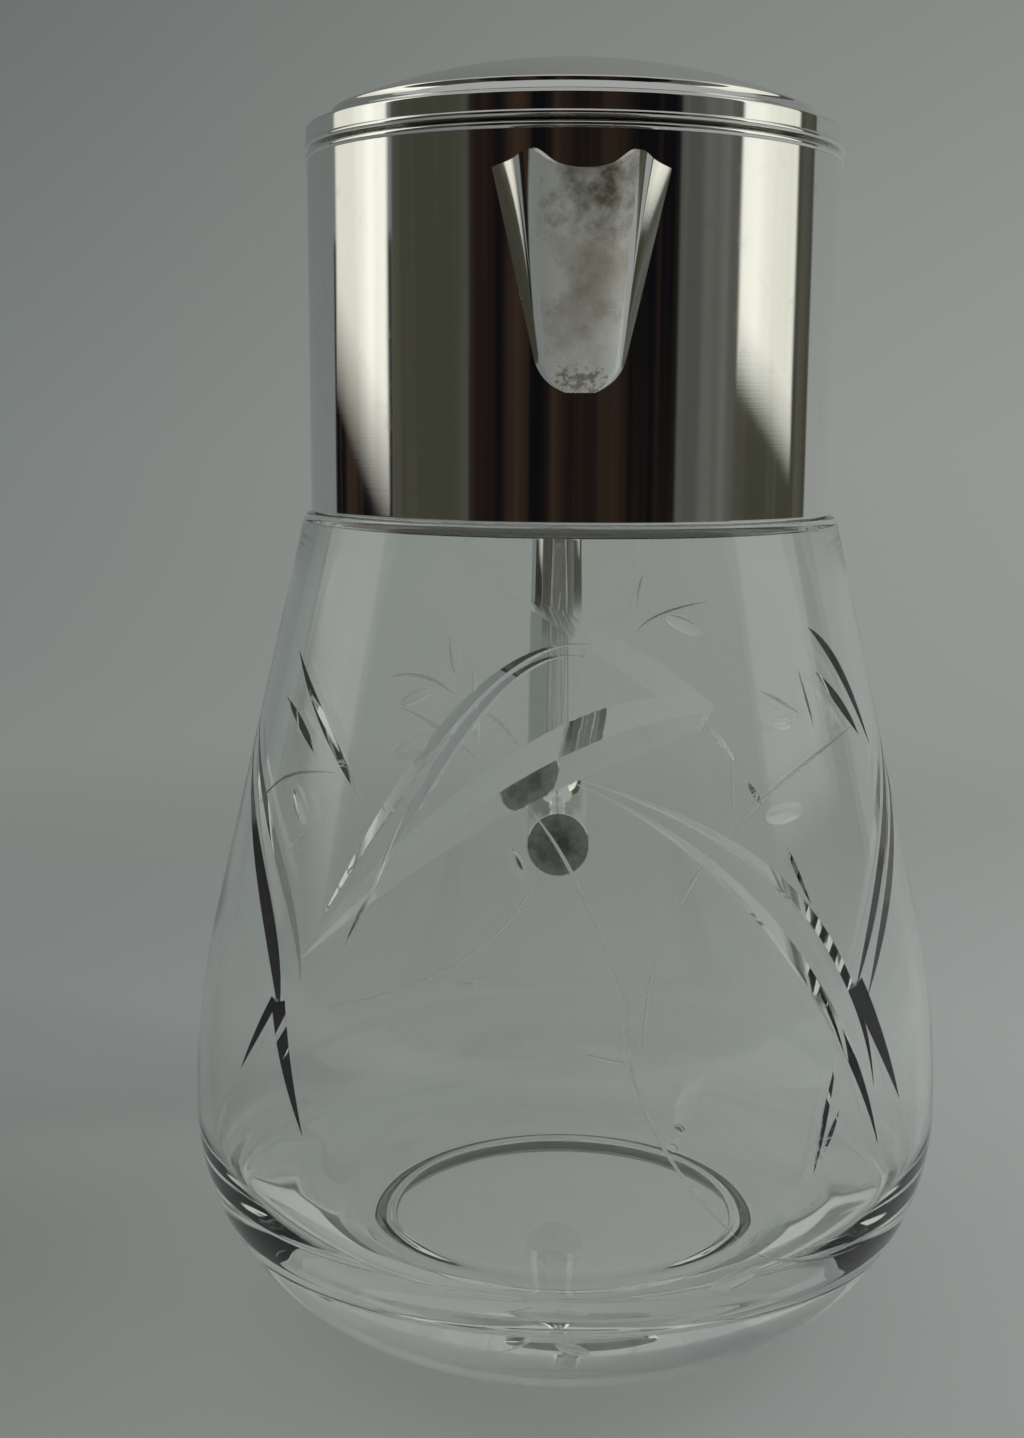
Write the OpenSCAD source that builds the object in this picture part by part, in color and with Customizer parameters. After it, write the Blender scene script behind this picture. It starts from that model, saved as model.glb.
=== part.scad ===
// Cut-glass cocktail pitcher with a silver-plated collar, spout, handle and hinged lid.
// Millimetres. The origin is on the jug's axis, in the plane of the table. +Z is up,
// the spout points to -Y and the handle to +Y.

/* [Glass jug] */
// Height of the glass from the table to the lower edge of the collar
glass_h = 166; // [140:1:190]
// Largest diameter of the belly
belly_d = 154; // [136:1:176]
// Height of the belly's widest circle above the table
belly_z = 45; // [36:1:54]
// Outer diameter of the ground ring that the jug stands on
base_flat_d = 84; // [68:1:96]
// Width of the ground ring
foot_w = 2.5; // [2:0.5:5]
// Depth of the hollow ground into the base
dish_h = 2.5; // [1:0.5:5]
// Radius of the arc from the widest circle up to the conical side
belly_arc_r = 170; // [120:5:240]
// Thickness of the side wall
glass_wall = 3; // [2.5:0.5:5]
// Height of the floor inside above the table
floor_h = 23; // [16:1:24]
// Rounding of the corner between the floor and the wall inside
corner_r = 12; // [6:1:12]
// Rounding of the shoulder under the collar
shoulder_r = 4; // [3:0.5:6]
// How far the shoulder's rounding starts inside the collar's outer face
shoulder_inset = 2; // [1.4:0.1:2.2]
// Height of the neck that stands inside the collar
neck_h = 17; // [12:1:20]
// Thickness of the neck
neck_wall = 2.5; // [2:0.5:4]
// Depth over which the neck's bore widens into the jug
throat_h = 5; // [4:0.5:12]

/* [Collar] */
// Outer diameter of the collar
collar_d = 104; // [92:1:116]
// Height of the collar with its rim ring
collar_h = 68; // [62:1:84]
// Thickness of the plated sheet
sheet_t = 0.9; // [0.6:0.1:1.4]
// Gap between collar and neck, filled with plaster
plaster_t = 2; // [1.6:0.1:3]
// How far the plaster stays below the neck's upper edge
plaster_short = 3; // [1:0.5:6]

/* [Rim ring] */
// Height of the ring's flange on top of the collar
rim_t = 1.3; // [1:0.1:2]
// How far the ring's bead stands out from the collar
rim_bead = 0.4; // [0.2:0.1:0.8]
// Width of the seat from the collar's outer face inwards
rim_seat_w = 4.6; // [3.5:0.1:6]
// Depth of the ring's skirt inside the collar
rim_skirt_h = 6; // [4:0.5:9]
// Thickness of the ring's skirt
rim_skirt_t = 1.2; // [0.8:0.1:1.6]

/* [Strainer] */
// Diameter of a strainer hole
hole_d = 3.8; // [2.6:0.2:4.4]
// Distance between neighbouring holes
hole_pitch = 5.8; // [5.2:0.2:8]
// Height of the lowest row above the spout's tip
hole_row_z = 7; // [6:0.5:10]
// Least distance from a hole's edge to the inside of the spout
hole_margin = 0.8; // [0.5:0.1:2]
// Number of rows of holes
hole_rows = 5; // [2:1:5]

/* [Spout] */
// Height of the spout's tip above the collar's lower edge
spout_tip_z = 22.5; // [20:0.5:26]
// Depth of the spout's upper corners below the rim
spout_below_rim = 7.5; // [6:0.5:14]
// How far the lip stands out from the collar
spout_out = 15; // [10:0.5:22]
// Radius of the rounded lower end
spout_round_r = 8.2; // [6:0.2:10]
// Angle at which each side opens upwards from the vertical
spout_flare = 13; // [8:0.5:17]
// Width of the front face at the lip, as a share of the width at the collar
spout_face = 0.6; // [0.48:0.02:0.7]
// Squareness of the folds between front and sides
spout_fold = 6; // [3:0.5:8]
// Thickness of the pressed metal
spout_t = 1; // [0.8:0.1:1.4]
// Rise of the lip at the folds
lip_peak = 1.4; // [0:0.1:3]
// Dip of the lip in the middle
lip_dip = 2.4; // [0:0.1:3]

/* [Handle] */
// Depth of the upper arm's axis below the rim
handle_below_rim = 24; // [22:1:38]
// Depth of the lower end's axis below the collar's lower edge
handle_drop = 88; // [70:1:104]
// Diameter of the tube at the collar
handle_top_d = 14; // [11:0.5:16]
// Diameter of the tube at its lower end
handle_end_d = 16.5; // [13:0.5:20]
// Radius of both bends, at the tube's axis
handle_bend_r = 20; // [14:1:28]
// Straight length of tube between the lower bend and the end cap
handle_stub = 5; // [2:0.5:12]
// Gap between the end cap and the glass
handle_gap = 3; // [2:0.5:6]
// Wall of the tube
tube_t = 1.2; // [0.8:0.1:2]
// Thickness of the end cap
cap_t = 1.5; // [1:0.1:3]
// Chamfer round the end cap's face
cap_chamfer = 0.4; // [0.2:0.1:0.8]

/* [Lid] */
// Visible gap between the rim ring and the lid's band
lid_gap = 0.9; // [0.6:0.1:1.6]
// How far the lid's band stands out from the collar
lid_over = 0.2; // [0:0.1:1]
// Height of the upright band
lid_band_h = 4; // [4:0.5:7]
// Width of the step between band and dome
lid_step_w = 4; // [2.5:0.5:6]
// Height of the step between band and dome
lid_step_h = 2.7; // [1.5:0.1:4]
// Rise of the dome
lid_dome_h = 10.2; // [7:0.2:16]
// How far the bead round the lid's lower edge stands out
lid_bead = 0.4; // [0.2:0.1:0.8]
// Thickness of the liner's flange
liner_flange_t = 1.2; // [0.8:0.1:1.6]
// Width of the flange's seat on the rim ring
liner_seat_w = 2.2; // [1.2:0.1:3]
// Depth of the liner below its flange
liner_h = 6; // [4:0.5:10]
// Clearance of the liner inside the rim ring
liner_clear = 0.8; // [0.6:0.1:1.5]
// Clearance under the liner's flange
seat_clear = 0.3; // [0.2:0.05:0.5]

/* [Hinge] */
// Distance of the hinge's axis from the collar's outer face
hinge_out = 5.5; // [5:0.5:8]
// Length of the whole hinge
hinge_w = 22; // [18:1:30]
// Length of the lid's knuckle
lid_knuckle_w = 8; // [6:0.5:12]
// Outer diameter of the knuckles
knuckle_d = 6.4; // [5.6:0.2:7.4]
// Diameter of the pin
pin_d = 3; // [2:0.1:3.6]
// Radial running clearance round the pin
pin_clear = 0.05; // [0.02:0.01:0.1]
// Clearance between parts that turn past each other
side_clear = 0.3; // [0.2:0.05:0.6]
// Height of the bracket's foot on the collar
bracket_h = 10; // [8:0.5:11]
// Thickness of the bracket's foot
bracket_t = 2; // [1.5:0.1:3]

/* [Thumb piece] */
// Width of the thumb piece
thumb_w = 15; // [12:0.5:20]
// Height of the thumb piece above the lid's hinge leaf
thumb_h = 13; // [9:0.5:17]
// Thickness of the thumb piece
thumb_t = 2; // [1.5:0.1:3]
// How far its upper edge leans back
thumb_lean = 6.7; // [3:0.1:8]
// Rounding of its upper corners
thumb_corner_r = 5; // [2:0.5:5]

/* [Hidden] */
$fn = 96;
arc_steps = 20;
overcut = 2;
silver = "#c9cac8";

// Radii and heights shared by the pieces
collar_r = collar_d / 2;
collar_in_r = collar_r - sheet_t;
neck_r = collar_in_r - plaster_t;
neck_in_r = neck_r - neck_wall;
plaster_h = neck_h - plaster_short;
belly_r = belly_d / 2;
rim_z = glass_h + collar_h;
rim_r = collar_r + rim_bead;
seat_r = collar_r - rim_seat_w;
lid_r = collar_r + lid_over;
lid_z = rim_z + lid_gap;
band_z = lid_z + lid_band_h;
dome_r = lid_r - lid_step_w;
dome_z = band_z + lid_step_h;
knuckle_r = knuckle_d / 2;
hinge_y = collar_r + hinge_out;
hinge_z = lid_z;

// Points along an arc of a circle about a centre, from one angle to another
function arc(centre, r, from, to, steps = arc_steps) =
    [for (i = [0 : steps]) let (a = from + (to - from) * i / steps) centre + r * [cos(a), sin(a)]];

// The glass in profile: shoulder, conical side, belly arc and heel, each tangent to the next.
// The outward normal of the conical side leans up by side_a.
shoulder_c = [collar_r - shoulder_inset, glass_h - shoulder_r];
belly_c = [belly_r - belly_arc_r, belly_z];
shoulder_v = shoulder_c - belly_c;
side_a = atan2(shoulder_v[1], shoulder_v[0]) - acos((belly_arc_r - shoulder_r) / norm(shoulder_v));
side_n = [cos(side_a), sin(side_a)];
base_r = base_flat_d / 2;
heel_w = belly_r - base_r;
heel_r = (heel_w * heel_w + belly_z * belly_z) / (2 * heel_w);
heel_c = [belly_r - heel_r, belly_z];
heel_end_a = atan2(-belly_z, base_r - heel_c[0]);
dish_r = base_r - foot_w;
heel_in_r = heel_r - glass_wall;
corner_z = floor_h + corner_r;
corner_c = [heel_c[0] + sqrt(pow(heel_in_r - corner_r, 2) - pow(belly_z - corner_z, 2)), corner_z];
corner_a = atan2(corner_z - belly_z, corner_c[0] - heel_c[0]);

// Radius of the conical side at a height, at a distance inside the outer face
function side_r(z, inside = 0) =
    let (p = belly_c + (belly_arc_r - inside) * side_n) p[0] - (z - p[1]) * tan(side_a);

// Outer radius of the glass at a height between the belly's widest circle and the shoulder
function glass_r(z) =
    z > belly_c[1] + belly_arc_r * side_n[1] ? side_r(z)
        : belly_c[0] + sqrt(belly_arc_r * belly_arc_r - pow(z - belly_z, 2));

glass_outside = concat(
    [for (i = [0 : arc_steps]) let (t = i / arc_steps) [dish_r * t, dish_h * (1 - t * t)]],
    arc(heel_c, heel_r, heel_end_a, 0),
    arc(belly_c, belly_arc_r, 0, side_a),
    arc(shoulder_c, shoulder_r, side_a, 90),
    [[neck_r, glass_h], [neck_r, glass_h + neck_h]]);

glass_inside = concat(
    [[0, floor_h]],
    arc(corner_c, corner_r, -90, corner_a),
    arc(heel_c, heel_in_r, corner_a, 0),
    arc(belly_c, belly_arc_r - glass_wall, 0, side_a),
    [[side_r(glass_h - throat_h, glass_wall), glass_h - throat_h],
     [neck_in_r, glass_h], [neck_in_r, glass_h + neck_h]]);

module glass_body() {
    color("#dfe8e2", 0.4)
        rotate_extrude()
            polygon(concat(glass_outside, [for (i = [len(glass_inside) - 1 : -1 : 0]) glass_inside[i]]));
}

// Plaster that beds the collar on the neck
module neck_plaster() {
    color("#d8d4c8")
        translate([0, 0, glass_h])
            difference() {
                cylinder(h = plaster_h, r = collar_in_r);
                translate([0, 0, -overcut])
                    cylinder(h = plaster_h + 2 * overcut, r = neck_r);
            }
}

// Half width of the spout where it meets the collar, at a height above its tip:
// a round lower end, then two straight sides that open upwards
function spout_half_w(dz) =
    let (touch = spout_round_r * (1 - sin(spout_flare)))
    dz < touch ? sqrt(max(0, spout_round_r * spout_round_r - pow(spout_round_r - dz, 2)))
               : spout_round_r * cos(spout_flare) + (dz - touch) * tan(spout_flare);

spout_h = collar_h - spout_below_rim - spout_tip_z;
spout_start = 0.4;
spout_crowding = 1.5;
hole_columns = ceil(collar_r / hole_pitch);

// The collar is perforated behind the spout, as far as the holes fit inside it
module strainer_holes() {
    row_h = hole_pitch * sqrt(3) / 2;
    for (row = [0 : hole_rows - 1]) {
        dz = hole_row_z + row * row_h;
        shift = row % 2 == 0 ? 0.5 : 0;
        reach = spout_half_w(dz) - spout_t - hole_margin - hole_d / 2;
        if (dz + hole_d < spout_h)
            for (i = [-hole_columns : hole_columns])
                let (x = (i + shift) * hole_pitch)
                    if (abs(x) < reach)
                        translate([x, 0, glass_h + spout_tip_z + dz])
                            rotate([90, 0, 0])
                                cylinder(h = collar_r + overcut, d = hole_d);
    }
}

module collar() {
    color(silver)
        difference() {
            translate([0, 0, glass_h])
                cylinder(h = collar_h - rim_t, r = collar_r);
            translate([0, 0, glass_h - overcut])
                cylinder(h = collar_h + 2 * overcut, r = collar_in_r);
            strainer_holes();
        }
}

// Turned ring on the collar: a round bead outside, the lid's seat on top, a skirt inside
module rim_ring() {
    bead_r = rim_t / 2;
    color(silver)
        rotate_extrude()
            translate([0, rim_z])
                polygon(concat(
                    [[seat_r, 0], [seat_r, -rim_t], [collar_in_r - rim_skirt_t, -rim_t],
                     [collar_in_r - rim_skirt_t, -rim_t - rim_skirt_h],
                     [collar_in_r, -rim_t - rim_skirt_h], [collar_in_r, -rim_t]],
                    arc([rim_r - bead_r, -bead_r], bead_r, -90, 90)));
}

// One point of the spout's skin. t runs from the tip to the lip and a from the left edge on
// the collar round the front to the right edge. Each level is a trapezium with rounded folds.
function spout_point(t, a, skin) =
    let (s = sign(cos(a)) * pow(abs(cos(a)), 2 / spout_fold),
         h = pow(sin(a), 2 / spout_fold),
         start = spout_start + 2 * skin,
         top = spout_h + lip_peak * pow(sin(2 * a), 2) - lip_dip * h * (1 - s * s),
         dz = start + (top - start) * t,
         w = spout_half_w(dz) - skin,
         narrowing = 1 - (1 - spout_face) * sqrt(t) * h,
         x = s * w * narrowing,
         out = (spout_t + (spout_out - spout_t) * t - skin) * h)
    [x, -sqrt(collar_r * collar_r - x * x) - out, glass_h + spout_tip_z + dz];

// Pressed beak, open at the top and at the back, soldered to the collar along its edges
module spout() {
    levels = 22;
    sides = 28;
    row = sides + 1;
    sheet = row * (levels + 1);
    points = [for (skin = [0, spout_t], i = [0 : levels], j = [0 : sides])
        spout_point(pow(i / levels, spout_crowding), 180 - 180 * j / sides, skin)];
    cells = [for (i = [0 : levels - 1], j = [0 : sides - 1]) i * row + j];
    outer = [for (c = cells, half = [0, 1])
        half == 0 ? [c, c + row, c + 1] : [c + 1, c + row, c + row + 1]];
    inner = [for (f = outer) [f[0] + sheet, f[2] + sheet, f[1] + sheet]];
    left = [for (i = [0 : levels]) i * row];
    lip = [for (j = [1 : sides]) levels * row + j];
    right = [for (i = [levels - 1 : -1 : 0]) i * row + sides];
    tip = [for (j = [sides - 1 : -1 : 1]) j];
    edge = concat(left, lip, right, tip);
    hem = [for (k = [0 : len(edge) - 1], half = [0, 1])
        let (p = edge[k], q = edge[(k + 1) % len(edge)])
        half == 0 ? [p, p + sheet, q] : [q, p + sheet, q + sheet]];
    color(silver)
        polyhedron(points, concat(outer, inner, hem));
}

// Places that the handle takes from the glass it reaches down to
handle_arm_z = rim_z - handle_below_rim;
handle_end_z = glass_h - handle_drop;
handle_end_y = glass_r(handle_end_z - handle_end_d / 2) + handle_gap;
tube_end_y = handle_end_y + cap_t;
bend_y = tube_end_y + handle_stub;

// The tube's run as [y, z, heading, diameter]: arm, bend, tapering upright, bend and stub
handle_bend_steps = 10;
handle_run = concat(
    [[0, handle_arm_z, 0, handle_top_d]],
    [for (i = [0 : handle_bend_steps]) let (a = 90 * i / handle_bend_steps)
        [bend_y + handle_bend_r * sin(a), handle_arm_z - handle_bend_r * (1 - cos(a)), -a, handle_top_d]],
    [for (i = [0 : handle_bend_steps]) let (a = 90 * i / handle_bend_steps)
        [bend_y + handle_bend_r * cos(a), handle_end_z + handle_bend_r * (1 - sin(a)), -90 - a, handle_end_d]],
    [[tube_end_y, handle_end_z, -180, handle_end_d]]);

// A point of the tube's skin. The first ring lies on the collar's face.
function handle_point(i, turn, skin) =
    let (at = handle_run[i],
         r = at[3] / 2 - skin,
         x = r * cos(turn),
         up = r * sin(turn))
    i == 0 ? [x, sqrt(collar_r * collar_r - x * x), at[1] + up]
           : [x, at[0] - up * sin(at[2]), at[1] + up * cos(at[2])];

// Bent tube, soldered to the collar at its upper end and free at its lower end
module handle_tube() {
    sides = 32;
    rings = len(handle_run);
    skin_points = sides * rings;
    points = [for (skin = [0, tube_t], i = [0 : rings - 1], j = [0 : sides - 1])
        handle_point(i, 360 * j / sides, skin)];
    function at(skin, i, j) = skin * skin_points + i * sides + j % sides;
    walls = [for (skin = [0, 1], i = [0 : rings - 2], j = [0 : sides - 1])
        let (cell = [at(skin, i, j), at(skin, i, j + 1), at(skin, i + 1, j + 1), at(skin, i + 1, j)])
        skin == 0 ? cell : [cell[3], cell[2], cell[1], cell[0]]];
    ends = [for (i = [0, rings - 1], j = [0 : sides - 1])
        let (cell = [at(0, i, j), at(1, i, j), at(1, i, j + 1), at(0, i, j + 1)])
        i == 0 ? cell : [cell[3], cell[2], cell[1], cell[0]]];
    color(silver)
        polyhedron(points, concat(walls, ends));
}

// Disc that closes the tube's lower end
module handle_end_cap() {
    r = handle_end_d / 2;
    color("#8d8c88")
        translate([0, handle_end_y, handle_end_z])
            rotate([-90, 0, 0])
                rotate_extrude()
                    polygon([[0, 0], [r - cap_chamfer, 0], [r, cap_chamfer], [r, cap_t], [0, cap_t]]);
}

// A profile in the plane of the axis, drawn as [y, z], given a width across it
module across(width) {
    rotate([90, 0, 90])
        translate([0, 0, -width / 2])
            linear_extrude(width)
                children();
}

// Foot on the collar and the two outer knuckles, cut away round the lid's knuckle
module hinge_bracket() {
    foot_z = glass_h + collar_h - rim_t - side_clear;
    gap_w = lid_knuckle_w + 2 * side_clear;
    color(silver)
        difference() {
            across(hinge_w)
                difference() {
                    union() {
                        translate([hinge_y, hinge_z])
                            circle(d = knuckle_d);
                        polygon([[0, foot_z - bracket_h], [collar_r + bracket_t, foot_z - bracket_h],
                                 [hinge_y + knuckle_r, hinge_z - knuckle_r], [hinge_y + knuckle_r, hinge_z],
                                 [hinge_y - knuckle_r, hinge_z], [hinge_y - knuckle_r, foot_z], [0, foot_z]]);
                    }
                    translate([hinge_y, hinge_z])
                        circle(d = pin_d);
                }
            cylinder(h = rim_z + collar_h, r = collar_r);
            translate([0, 0, foot_z])
                cylinder(h = collar_h, r = max(rim_r, lid_r + lid_bead) + side_clear);
            across(gap_w)
                translate([hinge_y - knuckle_d, hinge_z - knuckle_r - side_clear])
                    square([2 * knuckle_d, knuckle_d + overcut]);
        }
}

// Pin with rounded ends, pressed into the bracket's knuckles
module hinge_pin() {
    end_r = pin_d / 2;
    bulge = pin_d / 6;
    color(silver)
        translate([-hinge_w / 2, hinge_y, hinge_z])
            rotate([0, 90, 0])
                rotate_extrude()
                    polygon([[0, -bulge], [end_r - bulge, -bulge], [end_r, 0], [end_r, hinge_w],
                             [end_r - bulge, hinge_w + bulge], [0, hinge_w + bulge]]);
}

// Spun lid: a beaded edge, an upright band, a hollow step and a low dome, in sheet of even thickness
function lid_outline(inside) =
    let (cap_r = (dome_r * dome_r + lid_dome_h * lid_dome_h) / (2 * lid_dome_h),
         cap_c = [0, dome_z + lid_dome_h - cap_r],
         cap_a = acos(dome_r / cap_r))
    concat(
        [[lid_r - inside, lid_z + lid_bead * 2], [lid_r - inside, band_z - inside]],
        [for (i = [1 : arc_steps - 1]) let (a = 90 * i / arc_steps)
            [lid_r - inside - lid_step_w * sin(a), band_z - inside + lid_step_h * (1 - cos(a))]],
        arc(cap_c, cap_r - inside, cap_a + asin(inside / cap_r), 90));

module lid_dome() {
    upper = lid_outline(0);
    under = lid_outline(sheet_t);
    bead = arc([lid_r, lid_z + lid_bead], lid_bead, -90, 90, 8);
    color(silver)
        rotate_extrude()
            polygon(concat([[lid_r - sheet_t, lid_z]], bead, upper,
                           [for (i = [len(under) - 1 : -1 : 0]) under[i]]));
}

// Sleeve inside the lid: its flange rests on the rim ring and its skirt centres the lid
module lid_liner() {
    skirt_r = seat_r - liner_clear;
    flange_z = rim_z + seat_clear;
    color(silver)
        rotate_extrude()
            polygon([[skirt_r - sheet_t, flange_z - liner_h], [skirt_r, flange_z - liner_h], [skirt_r, flange_z],
                     [seat_r + liner_seat_w, flange_z], [lid_r - sheet_t, lid_z],
                     [lid_r - sheet_t, flange_z + liner_flange_t],
                     [skirt_r - sheet_t, flange_z + liner_flange_t]]);
}

leaf_top_z = hinge_z + knuckle_r;

// Leaf soldered to the lid's band, with the knuckle that turns on the pin
module lid_hinge_leaf() {
    color(silver)
        difference() {
            across(lid_knuckle_w)
                difference() {
                    union() {
                        translate([hinge_y, hinge_z])
                            circle(d = knuckle_d);
                        polygon([[lid_r - lid_over - sheet_t, lid_z + 2 * lid_bead + side_clear],
                                 [hinge_y, hinge_z],
                                 [hinge_y, leaf_top_z], [lid_r - lid_over - sheet_t, leaf_top_z]]);
                    }
                    translate([hinge_y, hinge_z])
                        circle(r = pin_d / 2 + pin_clear);
                }
            cylinder(h = rim_z + collar_h, r = lid_r);
        }
}

// Upright tab on the leaf that curls away from the lid
module thumb_piece() {
    curl_r = (thumb_h * thumb_h + thumb_lean * thumb_lean) / (2 * thumb_lean);
    curl_c = [lid_r + side_clear + curl_r, leaf_top_z];
    curl_a = 180 - asin(thumb_h / curl_r);
    color(silver)
        intersection() {
            across(thumb_w)
                polygon(concat(arc(curl_c, curl_r, 180, curl_a),
                               arc(curl_c, curl_r - thumb_t, curl_a, 180)));
            rotate([90, 0, 0])
                translate([0, leaf_top_z, -curl_c[0]])
                    linear_extrude(curl_r + overcut)
                        union() {
                            translate([-thumb_w / 2, 0])
                                square([thumb_w, thumb_h - thumb_corner_r]);
                            translate([-thumb_w / 2 + thumb_corner_r, 0])
                                square([thumb_w - 2 * thumb_corner_r, thumb_h]);
                            for (side = [-1, 1])
                                translate([side * (thumb_w / 2 - thumb_corner_r), thumb_h - thumb_corner_r])
                                    circle(r = thumb_corner_r);
                        }
        }
}

glass_body();
neck_plaster();
collar();
rim_ring();
spout();
handle_tube();
handle_end_cap();
hinge_bracket();
hinge_pin();
lid_dome();
lid_liner();
lid_hinge_leaf();
thumb_piece();
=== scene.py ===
# %% [markdown]
# # A cut-glass cocktail pitcher
# The jug is blown glass with ground grass blades, and its mount is silver plate: a sleeve round the
# neck, a pressed beak, a bent tube as the handle and a spun lid on a hinge. A lathe made most of these
# pieces, so most of this lesson draws half a section and turns it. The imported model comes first: it
# says how large each piece is and where it sits, and every new piece takes its place from it.

import math

import bmesh
import bpy
from mathutils import Matrix, Vector
from mathutils.bvhtree import BVHTree
from mathutils.geometry import interpolate_bezier
from mathutils.interpolate import poly_3d_calc


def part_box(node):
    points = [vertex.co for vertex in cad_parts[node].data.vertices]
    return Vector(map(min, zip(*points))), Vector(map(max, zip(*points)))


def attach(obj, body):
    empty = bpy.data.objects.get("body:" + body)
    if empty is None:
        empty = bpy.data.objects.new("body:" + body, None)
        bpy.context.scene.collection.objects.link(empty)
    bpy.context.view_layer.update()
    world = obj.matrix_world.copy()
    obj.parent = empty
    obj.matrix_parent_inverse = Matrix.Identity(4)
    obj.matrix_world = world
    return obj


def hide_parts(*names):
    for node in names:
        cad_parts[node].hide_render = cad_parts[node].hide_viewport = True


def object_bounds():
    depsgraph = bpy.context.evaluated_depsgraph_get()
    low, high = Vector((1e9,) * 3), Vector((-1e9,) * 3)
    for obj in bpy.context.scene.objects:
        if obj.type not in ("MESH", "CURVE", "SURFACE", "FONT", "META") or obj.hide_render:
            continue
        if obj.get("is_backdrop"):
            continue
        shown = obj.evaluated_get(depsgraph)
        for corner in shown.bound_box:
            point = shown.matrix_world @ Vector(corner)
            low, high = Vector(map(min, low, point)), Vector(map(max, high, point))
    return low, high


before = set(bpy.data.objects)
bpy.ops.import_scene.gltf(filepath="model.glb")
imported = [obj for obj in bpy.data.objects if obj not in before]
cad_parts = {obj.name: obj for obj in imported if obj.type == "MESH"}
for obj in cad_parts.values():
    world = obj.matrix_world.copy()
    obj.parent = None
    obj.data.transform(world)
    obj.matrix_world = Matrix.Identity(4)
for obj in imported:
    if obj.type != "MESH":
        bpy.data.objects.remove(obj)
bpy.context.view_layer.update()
scene = bpy.context.scene
MM = 0.001

# %% [markdown]
# ## The camera
# The picture was taken from near, at the height of the collar, looking slightly down. Near cameras make
# the belly's ellipses open quickly towards the table, so the distance matters as much as the lens. One
# could aim with a Track To constraint. Three plain turns are used, because they hold the small roll of a
# hand-held camera too: roll about the line of sight, tilt down, then heading.

# %% Set the camera
PHOTO_HEIGHT_PX = 1438
CENTRE_OFFSET_PX = 28
EYE_DISTANCE = 366.3 * MM
EYE_HEIGHT = 185.3 * MM
JUG_TURN = math.radians(1.6)
HEADING = math.radians(-0.7)
TILT = math.radians(9.63)
ROLL = math.radians(0.45)

camera_data = bpy.data.cameras.new("camera")
camera_data.sensor_width = 36.0
camera_data.lens = 45.04
camera_data.shift_x = -CENTRE_OFFSET_PX / PHOTO_HEIGHT_PX
camera = bpy.data.objects.new("camera", camera_data)
scene.collection.objects.link(camera)
scene.camera = camera
eye = Vector((-math.sin(JUG_TURN) * EYE_DISTANCE, -math.cos(JUG_TURN) * EYE_DISTANCE, EYE_HEIGHT))
camera.matrix_world = (Matrix.Translation(eye) @ Matrix.Rotation(HEADING, 4, "Z")
                       @ Matrix.Rotation(math.pi / 2 - TILT, 4, "X") @ Matrix.Rotation(ROLL, 4, "Z"))
scene.view_settings.view_transform = "Standard"
print("camera at", [round(c / MM) for c in eye], "mm")

# %% [markdown]
# ## A pen for sections
# A turned piece is half a section, spun round the Z axis. The section is drawn with a pen that moves in
# the XZ plane: extruding its last vertex draws a line, and spinning that vertex about a centre draws an
# arc. This keeps the arcs true circles, which mirror metal and glass show at once if they are not.


# %% Draw a section and turn it
def pen_at(bm, r, z):
    return bm.verts.new((r, 0.0, z))


def line_to(bm, tip, r, z):
    tip = bmesh.ops.extrude_vert_indiv(bm, verts=[tip])["verts"][0]
    tip.co = (r, 0.0, z)
    return tip


def steps_to(bm, tip, r, z, steps):
    start = tip.co.copy()
    for i in range(1, steps + 1):
        at = start.lerp(Vector((r, 0.0, z)), i / steps)
        tip = line_to(bm, tip, at.x, at.z)
    return tip


def arc_to(bm, tip, centre, degrees, steps):
    out = bmesh.ops.spin(bm, geom=[tip], cent=(centre[0], 0.0, centre[1]), axis=(0.0, -1.0, 0.0),
                         angle=math.radians(degrees), steps=steps)
    return [g for g in out["geom_last"] if isinstance(g, bmesh.types.BMVert)][0]


def curve_to(bm, tip, handle, handle_end, end, steps):
    points = interpolate_bezier((tip.co.x, 0, tip.co.z), (handle[0], 0, handle[1]),
                                (handle_end[0], 0, handle_end[1]), (end[0], 0, end[1]), steps + 1)
    for p in points[1:]:
        tip = line_to(bm, tip, p.x, p.z)
    return tip


def turn(bm, steps=256):
    bmesh.ops.spin(bm, geom=bm.verts[:] + bm.edges[:], cent=(0, 0, 0), axis=(0, 0, 1),
                   angle=math.tau, steps=steps, use_merge=True)
    tidy(bm)


def tidy(bm):
    bmesh.ops.remove_doubles(bm, verts=bm.verts[:], dist=0.002 * MM)
    bmesh.ops.dissolve_degenerate(bm, edges=bm.edges[:], dist=0.001 * MM)
    bmesh.ops.recalc_face_normals(bm, faces=bm.faces[:])


# %% [markdown]
# ## From a bmesh to a piece
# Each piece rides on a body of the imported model, so that the lid's pieces swing with the lid. It also
# says which solid it stands for and which finish it takes. Smooth shading runs over the whole piece and
# stops at edges sharper than a set angle, as a polished edge does.


# %% Make a piece
SHARP_DEGREES = 35


def mark_edges(bm, sharp_degrees=SHARP_DEGREES):
    for face in bm.faces:
        face.smooth = True
    for edge in bm.edges:
        if edge.is_manifold and edge.calc_face_angle() > math.radians(sharp_degrees):
            edge.smooth = False


def make_object(name, bm, materials):
    mesh = bpy.data.meshes.new(name)
    bm.to_mesh(mesh)
    bm.free()
    for material in materials:
        mesh.materials.append(material)
    piece = bpy.data.objects.new(name, mesh)
    scene.collection.objects.link(piece)
    return piece


def settle(piece, body, node):
    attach(piece, body)
    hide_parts(node)
    print(f"{piece.name}: {len(piece.data.polygons)} faces for {node}")


def make_piece(name, bm, material, body, node, sharp_degrees=SHARP_DEGREES):
    mark_edges(bm, sharp_degrees)
    piece = make_object(name, bm, [material])
    settle(piece, body, node)
    return piece


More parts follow.
